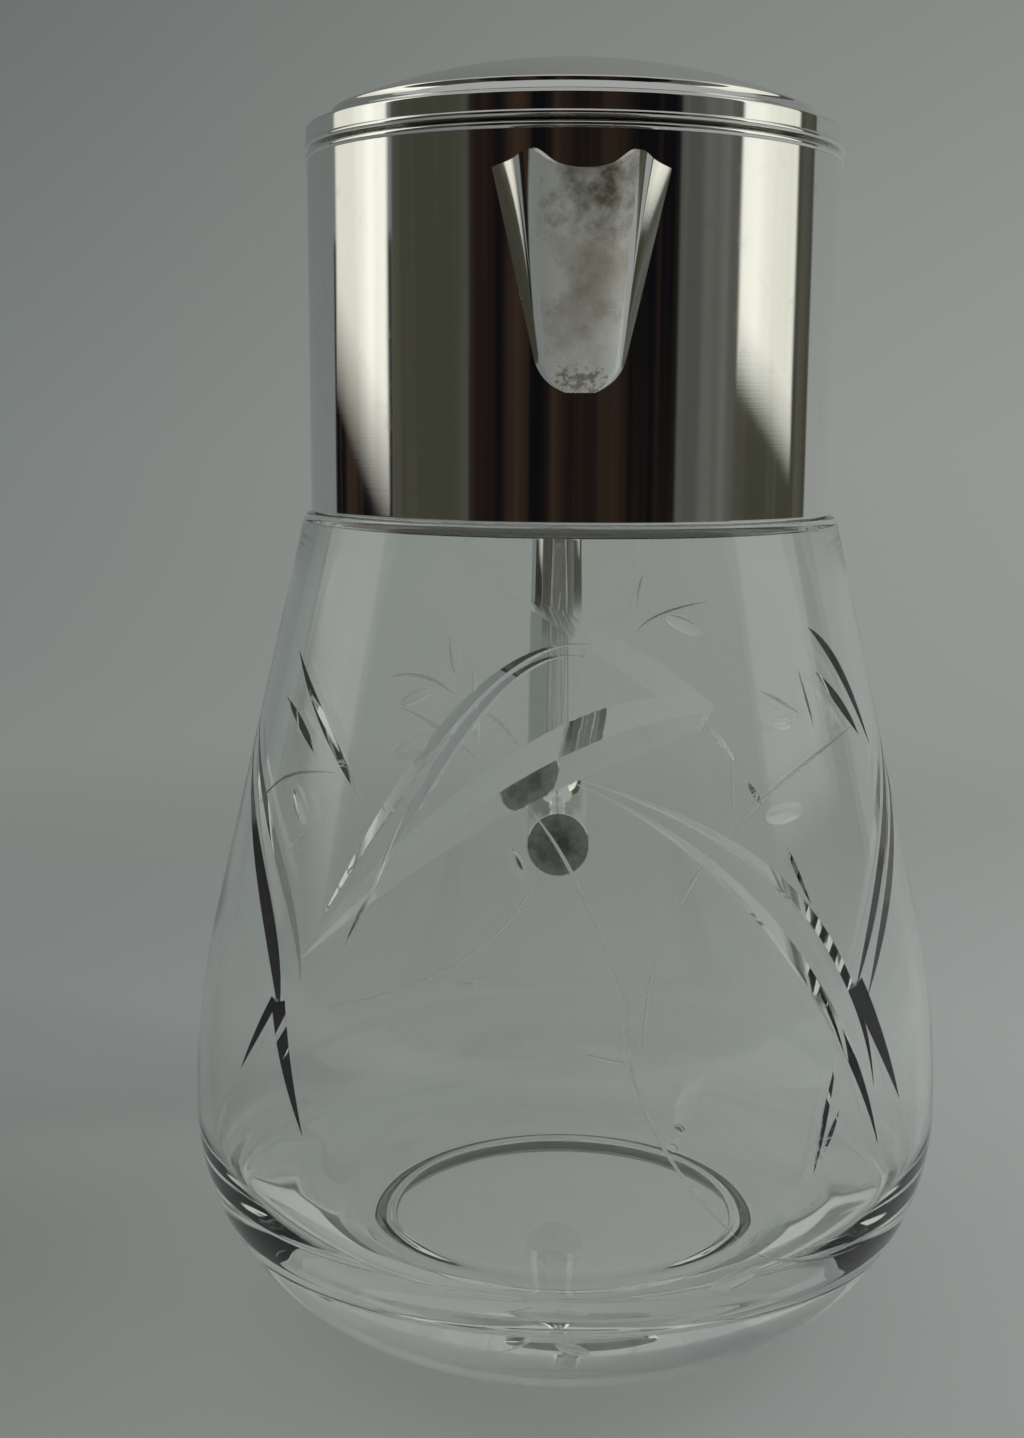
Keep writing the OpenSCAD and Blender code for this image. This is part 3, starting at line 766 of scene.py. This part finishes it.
def bend_ring(bm, ring, centre, degrees, steps):
    out = bmesh.ops.spin(bm, geom=ring, cent=centre, axis=(1, 0, 0), angle=math.radians(degrees),
                         steps=steps)
    return ring_of(out["geom_last"])


# %% Bend the tube
UPRIGHT_STEPS = 12
bm = bmesh.new()
first = Matrix.Translation((0, SLEEVE_R - SHEET_T / 2, ARM_Z)) @ Matrix.Rotation(math.pi / 2, 4, "X")
bmesh.ops.create_circle(bm, segments=64, radius=TUBE_TOP_R, matrix=first)
ring = bm.edges[:]
ring = push_ring(bm, ring, (0, BEND_Y - SLEEVE_R + SHEET_T / 2, 0))
ring = bend_ring(bm, ring, (0, BEND_Y, ARM_Z - BEND_R), -90, 20)
drop = (ARM_Z - END_Z - 2 * BEND_R) / UPRIGHT_STEPS
widen = (TUBE_END_R / TUBE_TOP_R) ** (1 / UPRIGHT_STEPS)
for _ in range(UPRIGHT_STEPS):
    ring = push_ring(bm, ring, (0, 0, -drop), widen)
ring = bend_ring(bm, ring, (0, BEND_Y, END_Z + BEND_R), -90, 20)
ring = push_ring(bm, ring, (0, TUBE_END_Y - BEND_Y, 0))
tidy(bm)
bmesh.ops.solidify(bm, geom=bm.faces[:], thickness=TUBE_T)
make_piece("handle_tube_bent", bm, mirror_plate, "jug", "handle_tube")

# %% Turn the end cap
CAP_EDGE = 0.4 * MM
cap_t = cap_high.y - cap_low.y
bm = bmesh.new()
tip = pen_at(bm, 0, 0)
tip = steps_to(bm, tip, TUBE_END_R - CAP_EDGE, 0, 6)
tip = arc_to(bm, tip, (TUBE_END_R - CAP_EDGE, CAP_EDGE), 90, 5)
tip = line_to(bm, tip, TUBE_END_R, cap_t)
tip = line_to(bm, tip, 0, cap_t)
turn(bm, 64)
DULL_FACE, POLISHED_EDGE = 0, 1
for face in bm.faces:
    face.material_index = DULL_FACE if abs(face.normal.z) > 0.95 else POLISHED_EDGE
upright = Matrix.Translation((0, cap_low.y, END_Z)) @ Matrix.Rotation(-math.pi / 2, 4, "X")
bmesh.ops.transform(bm, matrix=upright, verts=bm.verts[:])
mark_edges(bm)
end_cap = make_object("handle_cap_turned", bm, [dull_plate, mirror_plate])
settle(end_cap, "jug", "handle_end_cap")

# %% [markdown]
# ## The hinge and the thumb piece
# The hinge's pieces are small castings that were filed and polished. Their solids have the right shape
# but razor edges. A copy of each solid is merged into clean faces and its edges are rounded with a
# bevel, so that each edge carries a thin highlight.


# %% Round the hinge's castings
def soften(name, node, body, width):
    bm = bmesh.new()
    bm.from_mesh(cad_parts[node].data)
    bmesh.ops.remove_doubles(bm, verts=bm.verts[:], dist=0.01 * MM)
    bmesh.ops.dissolve_limit(bm, angle_limit=math.radians(2), verts=bm.verts[:], edges=bm.edges[:])
    sharp = [e for e in bm.edges if e.is_manifold and e.calc_face_angle() > math.radians(40)]
    bmesh.ops.bevel(bm, geom=sharp, offset=width, affect="EDGES", segments=3, profile=0.5, material=-1)
    return make_piece(name, bm, mirror_plate, body, node, 40)


soften("hinge_bracket_filed", "hinge_bracket", "jug", 0.25 * MM)
soften("hinge_pin_turned", "hinge_pin", "jug", 0.15 * MM)
soften("lid_leaf_filed", "lid_hinge_leaf", "lid", 0.25 * MM)
soften("thumb_piece_filed", "thumb_piece", "lid", 0.5 * MM)

# %% [markdown]
# ## Ground grass
# The cutter holds the jug against a turning stone. A long stroke leaves a groove with two facets, wide
# and shallow for a leaf, narrow and steep for a blade of grass. A thin wheel draws the stems, which stay
# matt, and a round one scoops the olives and small petals. Each stroke is planned as places on the wall,
# in degrees round from the beak and millimetres above the table, and made as a bar with three corners
# that is taken away from the glass. A texture could fake the lines, but only real facets bend the handle
# behind them as cut glass does.


# %% Places on the wall
def wall_radius(z):
    if z < BELLY_Z:
        return heel_c.x + math.sqrt(heel_r ** 2 - (z - BELLY_Z) ** 2)
    if z < cone_start.y:
        return belly_c.x + math.sqrt(BELLY_ARC_R ** 2 - (z - BELLY_Z) ** 2)
    return cone_start.x - (z - cone_start.y) * slope


def on_wall(degrees, height):
    a = math.radians(degrees)
    out = Vector((math.sin(a), -math.cos(a), 0))
    z = height * MM
    near = 0.05 * MM
    lean = (wall_radius(z + near) - wall_radius(z - near)) / (2 * near)
    return out * wall_radius(z) + Vector((0, 0, z)), (out - Vector((0, 0, lean))).normalized()


def along(start, over, end, t):
    first, middle, last = (1 - t) * (1 - 2 * t), 4 * t * (1 - t), t * (2 * t - 1)
    return on_wall(first * start[0] + middle * over[0] + last * end[0],
                   first * start[1] + middle * over[1] + last * end[1])


# %% A stroke of the stone
STROKE_STEPS = 36
STROKE_END = 0.07
OVERSHOOT = 1.6
POLISHED_CUT, MATT_CUT = 1, 2


def stroke(start, over, end, width, depth, skew=1.0, blunt=False, finish=POLISHED_CUT):
    bm = bmesh.new()
    bmesh.ops.create_grid(bm, x_segments=STROKE_STEPS, y_segments=3, size=1.0)
    for v in bm.verts:
        t = (1 + v.co.x) / 2
        corner = round(1.5 * (1 + v.co.y)) % 3
        at, normal = along(start, over, end, t)
        ahead, behind = along(start, over, end, t + 0.01)[0], along(start, over, end, t - 0.01)[0]
        side = normal.cross(ahead - behind).normalized()
        full = math.cos(t * math.pi / 2) if blunt else math.sin(t ** skew * math.pi)
        swell = max(STROKE_END, max(full, 0.0) ** 0.8)
        half = swell * width * MM / 2
        deep = at - normal * swell * depth * MM
        rise = (at + side * half * (2 * corner - 3)) - deep
        v.co = deep if corner == 0 else deep + rise * OVERSHOOT
    tidy(bm)
    bmesh.ops.holes_fill(bm, edges=[e for e in bm.edges if e.is_boundary], sides=3)
    bmesh.ops.recalc_face_normals(bm, faces=bm.faces[:])
    for face in bm.faces:
        face.material_index = finish
    return make_object("stroke", bm, [blown_glass, cut_glass, matt_glass])


# %% A scoop of the round wheel
def scoop(place, length, width, degrees, depth):
    at, normal = on_wall(*place)
    level = Vector((0, 0, 1)).cross(normal).normalized()
    upward = normal.cross(level)
    a = math.radians(degrees)
    run = level * math.cos(a) + upward * math.sin(a)
    frame_axes = Matrix((run, normal.cross(run), normal)).transposed().to_4x4()
    half_cut = math.sqrt(0.75)
    size = Matrix.Diagonal((length * MM / 2 / half_cut, width * MM / 2 / half_cut, 2 * depth * MM, 1))
    bm = bmesh.new()
    bmesh.ops.create_uvsphere(bm, u_segments=32, v_segments=20, radius=1.0,
                              matrix=Matrix.Translation(at + normal * depth * MM) @ frame_axes @ size)
    for face in bm.faces:
        face.material_index = POLISHED_CUT
        face.smooth = True
    return make_object("scoop", bm, [blown_glass, cut_glass, matt_glass])


# %% Blades and leaves
cutters = [
    stroke((2, 146), (-18.5, 135), (-40, 97), 2.8, 1.6, skew=1.5),
    stroke((1, 144), (-17.5, 132.5), (-35.5, 91.5), 2.6, 1.5, skew=1.5),
    stroke((22, 134), (-11.5, 121.5), (-45, 86), 10, 1.2, skew=0.6),
    stroke((22, 133), (5.5, 145.5), (-13, 154.5), 6.5, 0.18, blunt=True),
    stroke((0, 123.5), (34.5, 101), (47, 64), 2.6, 1.2, skew=1.2),
    stroke((0, 122.5), (29, 97.5), (47.5, 53), 3.2, 1.5, skew=1.5),
    stroke((48, 147), (57, 138), (65, 123), 2.4, 1.3),
    stroke((48, 139), (54.5, 132.5), (60, 126), 2.2, 1.2),
    stroke((21, 132.5), (24, 129), (26.5, 125), 1.3, 0.9),
    stroke((28, 122), (29.5, 119.5), (30.5, 117.5), 1.2, 0.8),
    stroke((34.5, 110), (36, 105), (38, 99), 1.0, 0.6),
    stroke((82, 126), (61.5, 104.5), (45, 82), 2.8, 1.5),
    stroke((86, 121), (64.5, 101), (48, 80.5), 3.0, 1.6),
    stroke((45.5, 83), (49.5, 71.5), (54, 59), 4.4, 1.8, blunt=True),
    stroke((-84, 124), (-58, 99), (-46.5, 77), 4.0, 1.9, skew=1.4),
    stroke((-80, 126), (-54, 104), (-43, 84), 2.4, 0.9),
    stroke((-47, 79), (-44, 69.5), (-39.5, 57), 4.0, 1.8, blunt=True),
    stroke((-48, 79), (-51, 72), (-54.5, 64), 2.2, 1.2, blunt=True),
    stroke((-61, 141), (-47, 128.5), (-35.5, 116.5), 2.2, 1.1),
    stroke((-62, 132), (-54.5, 128), (-48, 123), 1.8, 0.9),
    stroke((-18, 142), (-17, 135), (-16, 128), 1.4, 0.35),
    stroke((34, 52), (36, 61), (39, 71), 1.6, 0.5),
    stroke((35, 54), (37, 58), (39, 62), 1.4, 0.4),
]

# %% Olives and petals
cutters += [
    scoop((35, 115.5), 11, 3.8, 4, 0.4),
    scoop((37, 131), 6, 2.6, 0, 0.35),
    scoop((19, 149), 8.5, 2.4, -25, 0.35),
    scoop((-27, 127), 11, 3.6, 17, 0.4),
    scoop((-28, 136), 7.5, 2.4, 25, 0.35),
    scoop((-50, 114), 9, 4, -45, 0.4),
    scoop((15, 69), 12.5, 4.5, 68, 0.4),
    scoop((13, 62), 3.2, 2.2, 80, 0.3),
    scoop((4, 78), 11, 3, -15, 0.35),
    scoop((22, 35), 12, 4, 18, 0.4),
    scoop((0, 22), 8, 3.4, -32, 0.35),
    scoop((-9, 109), 6, 2.6, -60, 0.3),
]

# %% Stems, and grind the front
STEM_W, STEM_DEPTH = 0.7, 0.22
cutters += [
    stroke(*places, STEM_W, STEM_DEPTH, finish=MATT_CUT) for places in (
        ((26, 127), (25.5, 121), (25, 116)), ((58, 128), (38, 122), (23, 112)),
        ((20, 109), (17, 105), (15, 101)), ((-8, 119), (0, 106), (7, 85)),
        ((7, 85), (10, 65), (22, 43)), ((11, 93), (9.5, 85), (9, 77)),
        ((24, 40), (34, 35), (46, 33)), ((10, 148), (15, 151), (24, 153)),
        ((12, 158), (11, 155), (10.5, 152)), ((33, 137), (37, 135), (42, 132)),
        ((43, 140), (44, 135), (45, 129)), ((-23, 147), (-22, 143), (-21, 140)),
        ((-34, 139), (-27, 139.5), (-21, 137)), ((-31, 134), (-23, 131), (-16, 126)),
        ((-15.5, 134), (-12, 132), (-9, 128)), ((-65, 111), (-56, 118), (-43, 121)),
        ((-52, 105), (-50, 107), (-48, 109)), ((-11, 20), (-8, 22), (-6, 24)),
        ((-5.5, 109), (-15.5, 93), (-37, 81)), ((-17, 88.5), (-15.5, 88.7), (-14, 88.5)))
]
FACET_DEGREES = 8
print("cuts:", len(cutters))
cut_with(glass_body, cutters, FACET_DEGREES)
settle(glass_body, "jug", "glass_body")

# %% [markdown]
# ## Plaster
# Plaster beds the collar on the neck. It is seen only as a pale ring through the glass and keeps its
# solid, with a chalky finish.

# %% Plaster finish
plaster, plaster_tree, plaster_shader = new_material("plaster")
coords = add(plaster_tree, "ShaderNodeTexCoord")
grain = add(plaster_tree, "ShaderNodeTexNoise", {"Scale": 500.0, "Detail": 6.0})
ramp = add(plaster_tree, "ShaderNodeValToRGB")
ramp.color_ramp.elements[0].color = (0.52, 0.49, 0.42, 1)
ramp.color_ramp.elements[1].color = (0.78, 0.76, 0.69, 1)
bump = add(plaster_tree, "ShaderNodeBump", {"Distance": 0.2 * MM})
plaster_shader.inputs["Roughness"].default_value = 0.95
join(plaster_tree, coords, "Object", grain, "Vector")
join(plaster_tree, grain, "Fac", ramp, "Fac")
join(plaster_tree, ramp, "Color", plaster_shader, "Base Color")
join(plaster_tree, grain, "Fac", bump, "Height")
join(plaster_tree, bump, "Normal", plaster_shader, "Normal")
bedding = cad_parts["neck_plaster"]
bedding.data.materials.clear()
bedding.data.materials.append(plaster)
print("plaster on", bedding.name)

# %% [markdown]
# ## The studio
# Mirror metal shows the room more than itself. The room here is a grey paper bowl with a window on each
# side and a dark screen behind the camera, which gives the collar its dark middle and its bright strips.
# Lamps and the windows' images are kept apart: area lamps light the scene and are not mirrored, and pale
# cards with soft edges are mirrored and light nothing. So the brightness of a reflection can be set
# without touching the light on the table. Neither cards nor screen are seen by the camera itself. The
# paper comes first.

# %% Floor and backdrop
paper, paper_tree, paper_shader = new_material("grey_paper")
coords = add(paper_tree, "ShaderNodeTexCoord")
fibre = add(paper_tree, "ShaderNodeTexNoise", {"Scale": 6.0, "Detail": 3.0})
shade = add(paper_tree, "ShaderNodeValToRGB")
shade.color_ramp.elements[0].color = (0.215, 0.229, 0.222, 1)
shade.color_ramp.elements[1].color = (0.235, 0.249, 0.241, 1)
paper_shader.inputs["Roughness"].default_value = 0.9
join(paper_tree, coords, "Object", fibre, "Vector")
join(paper_tree, fibre, "Fac", shade, "Fac")
join(paper_tree, shade, "Color", paper_shader, "Base Color")

# %% [markdown]
# ## The wall's painted light
# Lamps this near leave a bright pool on the wall and a dark band where it meets the floor. A studio would
# use a larger room. Here the paper far from the jug glows with painted light instead, paler to the right
# where the strong window stands, with painted shade darker towards the top. Light Path picks the rays that
# see this painted light, those of the camera and those that leave metal or glass, so it lights nothing.
# Near the jug the paper is lit by the lamps alone and keeps the shadow. A thick base also gathers light
# on the table below it. The shadow rays that pass straight through leave that out, so a soft patch under
# the jug stands for it, seen only through the glass.

# %% Painted light on the far paper
place = add(paper_tree, "ShaderNodeSeparateXYZ")
sideways = add(paper_tree, "ShaderNodeMapRange", {"From Min": -0.6, "From Max": 0.6})
# Painted light: this ramp makes the far paper paler to the right, where the strong window is, and darker to
# the left.
painted_side_light = add(paper_tree, "ShaderNodeValToRGB")
painted_side_light.color_ramp.elements[0].color = (0.19, 0.21, 0.203, 1)
painted_side_light.color_ramp.elements[1].color = (0.31, 0.328, 0.312, 1)
painted_side_light.color_ramp.elements.new(0.5).color = (0.265, 0.282, 0.265, 1)
# Painted shade: the far paper's glow is dimmed towards the top.
upward = add(paper_tree, "ShaderNodeMapRange",
             {"From Min": 0.15, "From Max": 0.8, "To Min": 1.0, "To Max": 0.75})
wall_light = add(paper_tree, "ShaderNodeEmission")
join(paper_tree, coords, "Object", place, "Vector")
join(paper_tree, place, "X", sideways, "Value")
join(paper_tree, place, "Z", upward, "Value")
join(paper_tree, sideways, "Result", painted_side_light, "Fac")
join(paper_tree, painted_side_light, "Color", wall_light, "Color")
join(paper_tree, upward, "Result", wall_light, "Strength")

# %% Which rays see the painted light
rays = add(paper_tree, "ShaderNodeLightPath")
mirrored = math_node(paper_tree, "MAXIMUM", (rays, "Is Glossy Ray"), (rays, "Is Transmission Ray"))
seen = math_node(paper_tree, "MAXIMUM", (mirrored, 0), (rays, "Is Camera Ray"))
far = add(paper_tree, "ShaderNodeVectorMath", operation="LENGTH")
away = add(paper_tree, "ShaderNodeMapRange", {"From Min": 0.25, "From Max": 0.7},
           interpolation_type="SMOOTHSTEP")
even = math_node(paper_tree, "MULTIPLY", (seen, 0), (away, "Result"))
blend = add(paper_tree, "ShaderNodeMixShader")
join(paper_tree, coords, "Object", far, "Vector")
join(paper_tree, far, "Value", away, "Value")
join(paper_tree, even, 0, blend, 0)
join(paper_tree, paper_shader, "BSDF", blend, 1)
join(paper_tree, wall_light, "Emission", blend, 2)

# %% Light gathered under the base
below = add(paper_tree, "ShaderNodeMapRange",
            {"From Min": 0.03, "From Max": 0.085, "To Min": 0.07, "To Max": 0.0})
gathered = math_node(paper_tree, "MULTIPLY", (below, "Result"), (rays, "Is Transmission Ray"))
base_light = add(paper_tree, "ShaderNodeEmission", {"Color": (1.0, 1.0, 0.94, 1)})
both = add(paper_tree, "ShaderNodeAddShader")
join(paper_tree, far, "Value", below, "Value")
join(paper_tree, gathered, "Value", base_light, "Strength")
join(paper_tree, blend, "Shader", both, 0)
join(paper_tree, base_light, "Emission", both, 1)
join(paper_tree, both, "Shader", paper_tree.nodes["Material Output"], "Surface")
print("paper:", len(paper_tree.nodes), "nodes")

# %% Turn the backdrop
FLOOR_GAP = 0.3 * MM
FLOOR_R = 0.9
COVE_R = 1.0
WALL_TOP_Z = 2.0
bm = bmesh.new()
tip = pen_at(bm, 0, -FLOOR_GAP)
tip = steps_to(bm, tip, FLOOR_R, -FLOOR_GAP, 4)
tip = arc_to(bm, tip, (FLOOR_R, COVE_R - FLOOR_GAP), 90, 32)
tip = line_to(bm, tip, FLOOR_R + COVE_R, WALL_TOP_Z)
turn(bm, 96)
mark_edges(bm, 60)
backdrop = make_object("backdrop", bm, [paper])
backdrop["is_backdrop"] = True
print("backdrop:", len(backdrop.data.polygons), "faces")


# %% [markdown]
# ## Light
# Two windows and a weak light from above are area lamps, since a large lamp gives soft shadows. The right
# window is much the stronger, so the shadow falls to the left. The world fills in evenly from all round.


# %% Lamps
def window_lamp(name, azimuth, distance, width, tall, middle_z, radiance):
    lamp = bpy.data.lights.new(name, "AREA")
    lamp.shape = "RECTANGLE"
    lamp.size, lamp.size_y = width, tall
    lamp.energy = radiance * math.pi * width * tall
    holder = bpy.data.objects.new(name, lamp)
    scene.collection.objects.link(holder)
    a = math.radians(azimuth)
    holder.location = (math.sin(a) * distance, -math.cos(a) * distance, middle_z)
    aim = Vector((0, 0, 0.1)) - Vector(holder.location)
    holder.rotation_euler = aim.to_track_quat("-Z", "Y").to_euler()
    holder.visible_camera = False
    holder.visible_glossy = False
    holder.visible_transmission = False
    return holder


window_lamp("left_window", -97, 0.9, 0.5, 1.0, 0.6, 1.5)
window_lamp("right_window", 88, 0.9, 0.5, 1.0, 0.6, 13.0)
window_lamp("top_soft", 0, 0.01, 1.2, 1.2, 1.7, 0.3)

world = bpy.data.worlds.new("studio")
world.use_nodes = True
world.node_tree.nodes["Background"].inputs["Color"].default_value = (0.5, 0.51, 0.5, 1)
world.node_tree.nodes["Background"].inputs["Strength"].default_value = 0.8
scene.world = world
print("lamps:", len(bpy.data.lights))

# %% [markdown]
# ## Cards that are only mirrored
# Each window and wall that the collar mirrors is a card, bent round the jug. Its lower edge may slant, and
# its borders fade to clear, which a vertex attribute measures across the card. Noise that is drawn out
# upwards makes the streaks of a real room. A thick base gathers images from all round and would sparkle, so
# rays that come through the glass see each card in one plain tone.


# %% A bent card
def curved_card(name, radius, from_degrees, to_degrees, low_from, low_to, high, material, soft, soft_low):
    bm = bmesh.new()
    bmesh.ops.create_grid(bm, x_segments=64, y_segments=40, size=1.0)
    fade = bm.verts.layers.float.new("fade")
    for v in bm.verts:
        across_card = (1 + v.co.x) / 2
        up_card = (1 + v.co.y) / 2
        v[fade] = min(1, across_card / soft, (1 - across_card) / soft, up_card / soft_low)
        a = math.radians(from_degrees + (to_degrees - from_degrees) * across_card)
        low = low_from + (low_to - low_from) * across_card
        z = low + (high - low) * up_card
        v.co = (math.sin(a) * radius, -math.cos(a) * radius, z)
    card = make_object(name, bm, [material])
    card.visible_camera = False
    card.visible_diffuse = False
    card.visible_shadow = False
    card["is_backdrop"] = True
    return card


# %% The glow of a card
def glow(name, dark, light, bars, through):
    material = bpy.data.materials.new(name)
    material.use_nodes = True
    tree = material.node_tree
    tree.nodes.clear()
    coords = add(tree, "ShaderNodeTexCoord")
    squeeze = add(tree, "ShaderNodeMapping", {"Scale": (bars, bars, 0.6)})
    noise = add(tree, "ShaderNodeTexNoise", {"Scale": 1.0, "Detail": 3.0})
    ramp = add(tree, "ShaderNodeValToRGB")
    ramp.color_ramp.elements[0].position = 0.4
    ramp.color_ramp.elements[0].color = dark
    ramp.color_ramp.elements[1].position = 0.7
    ramp.color_ramp.elements[1].color = light
    light_out = add(tree, "ShaderNodeEmission")
    fade = add(tree, "ShaderNodeAttribute", attribute_name="fade")
    clear = add(tree, "ShaderNodeBsdfTransparent")
    soften_edge = add(tree, "ShaderNodeMixShader")
    out = add(tree, "ShaderNodeOutputMaterial")
    join(tree, coords, "Object", squeeze, "Vector")
    join(tree, squeeze, "Vector", noise, "Vector")
    join(tree, noise, "Fac", ramp, "Fac")
    rays = add(tree, "ShaderNodeLightPath")
    shown = add(tree, "ShaderNodeMix", data_type="RGBA")
    shown.inputs[7].default_value = through
    join(tree, rays, "Is Transmission Ray", shown, "Factor")
    join(tree, ramp, "Color", shown, 6)
    join(tree, shown, 2, light_out, "Color")
    join(tree, fade, "Fac", soften_edge, "Fac")
    join(tree, clear, "BSDF", soften_edge, 1)
    join(tree, light_out, "Emission", soften_edge, 2)
    join(tree, soften_edge, "Shader", out, "Surface")
    return material


# %% Hang the cards
SKY_THROUGH = (0.5, 0.51, 0.48, 1)
ROOM_THROUGH = (0.08, 0.083, 0.068, 1)
WALL_THROUGH = (0.15, 0.155, 0.135, 1)
left_sky = glow("left_sky", (0.8, 0.8, 0.7, 1), (1.15, 1.16, 1.04, 1), 3.0, SKY_THROUGH)
right_sky = glow("right_sky", (0.75, 0.76, 0.66, 1), (1.05, 1.06, 0.95, 1), 3.0, SKY_THROUGH)
dark_room = glow("dark_room", (0.004, 0.004, 0.005, 1), (0.035, 0.022, 0.014, 1), 14.0, ROOM_THROUGH)
dim_wall = glow("dim_wall", (0.05, 0.051, 0.038, 1), (0.09, 0.088, 0.07, 1), 8.0, ROOM_THROUGH)
grey_wall = glow("grey_wall", (0.075, 0.076, 0.068, 1), (0.15, 0.15, 0.138, 1), 9.0, WALL_THROUGH)
PANE_R, WALL_R, SCREEN_R, LOW_R = 0.9, 0.7, 0.62, 0.95
curved_card("left_pane", PANE_R, -119, -82, 0.19, 0.10, 1.3, left_sky, 0.05, 0.08)
curved_card("left_shade", LOW_R, -121, -80, 0.05, 0.05, 0.3, dark_room, 0.02, 0.1)
curved_card("left_wall", WALL_R, -80, -44, 0.05, 0.05, 1.0, dim_wall, 0.02, 0.03)
curved_card("dark_screen", SCREEN_R, -45, 43, 0.05, 0.05, 1.0, dark_room, 0.02, 0.03)
curved_card("right_wall", WALL_R, 42, 68, 0.05, 0.05, 1.0, grey_wall, 0.02, 0.03)
curved_card("right_pane", PANE_R, 69, 104, 0.2, 0.14, 1.3, right_sky, 0.05, 0.04)
curved_card("right_shade", LOW_R, 67, 117, 0.05, 0.05, 1.0, dim_wall, 0.02, 0.03)

# %% [markdown]
# ## Sizes
# The visual model may not outgrow the solids, so the visual box is printed.

# %% Print the visual box
low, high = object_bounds()
print("visual box in mm:", [round((b - a) / MM, 1) for a, b in zip(low, high)])
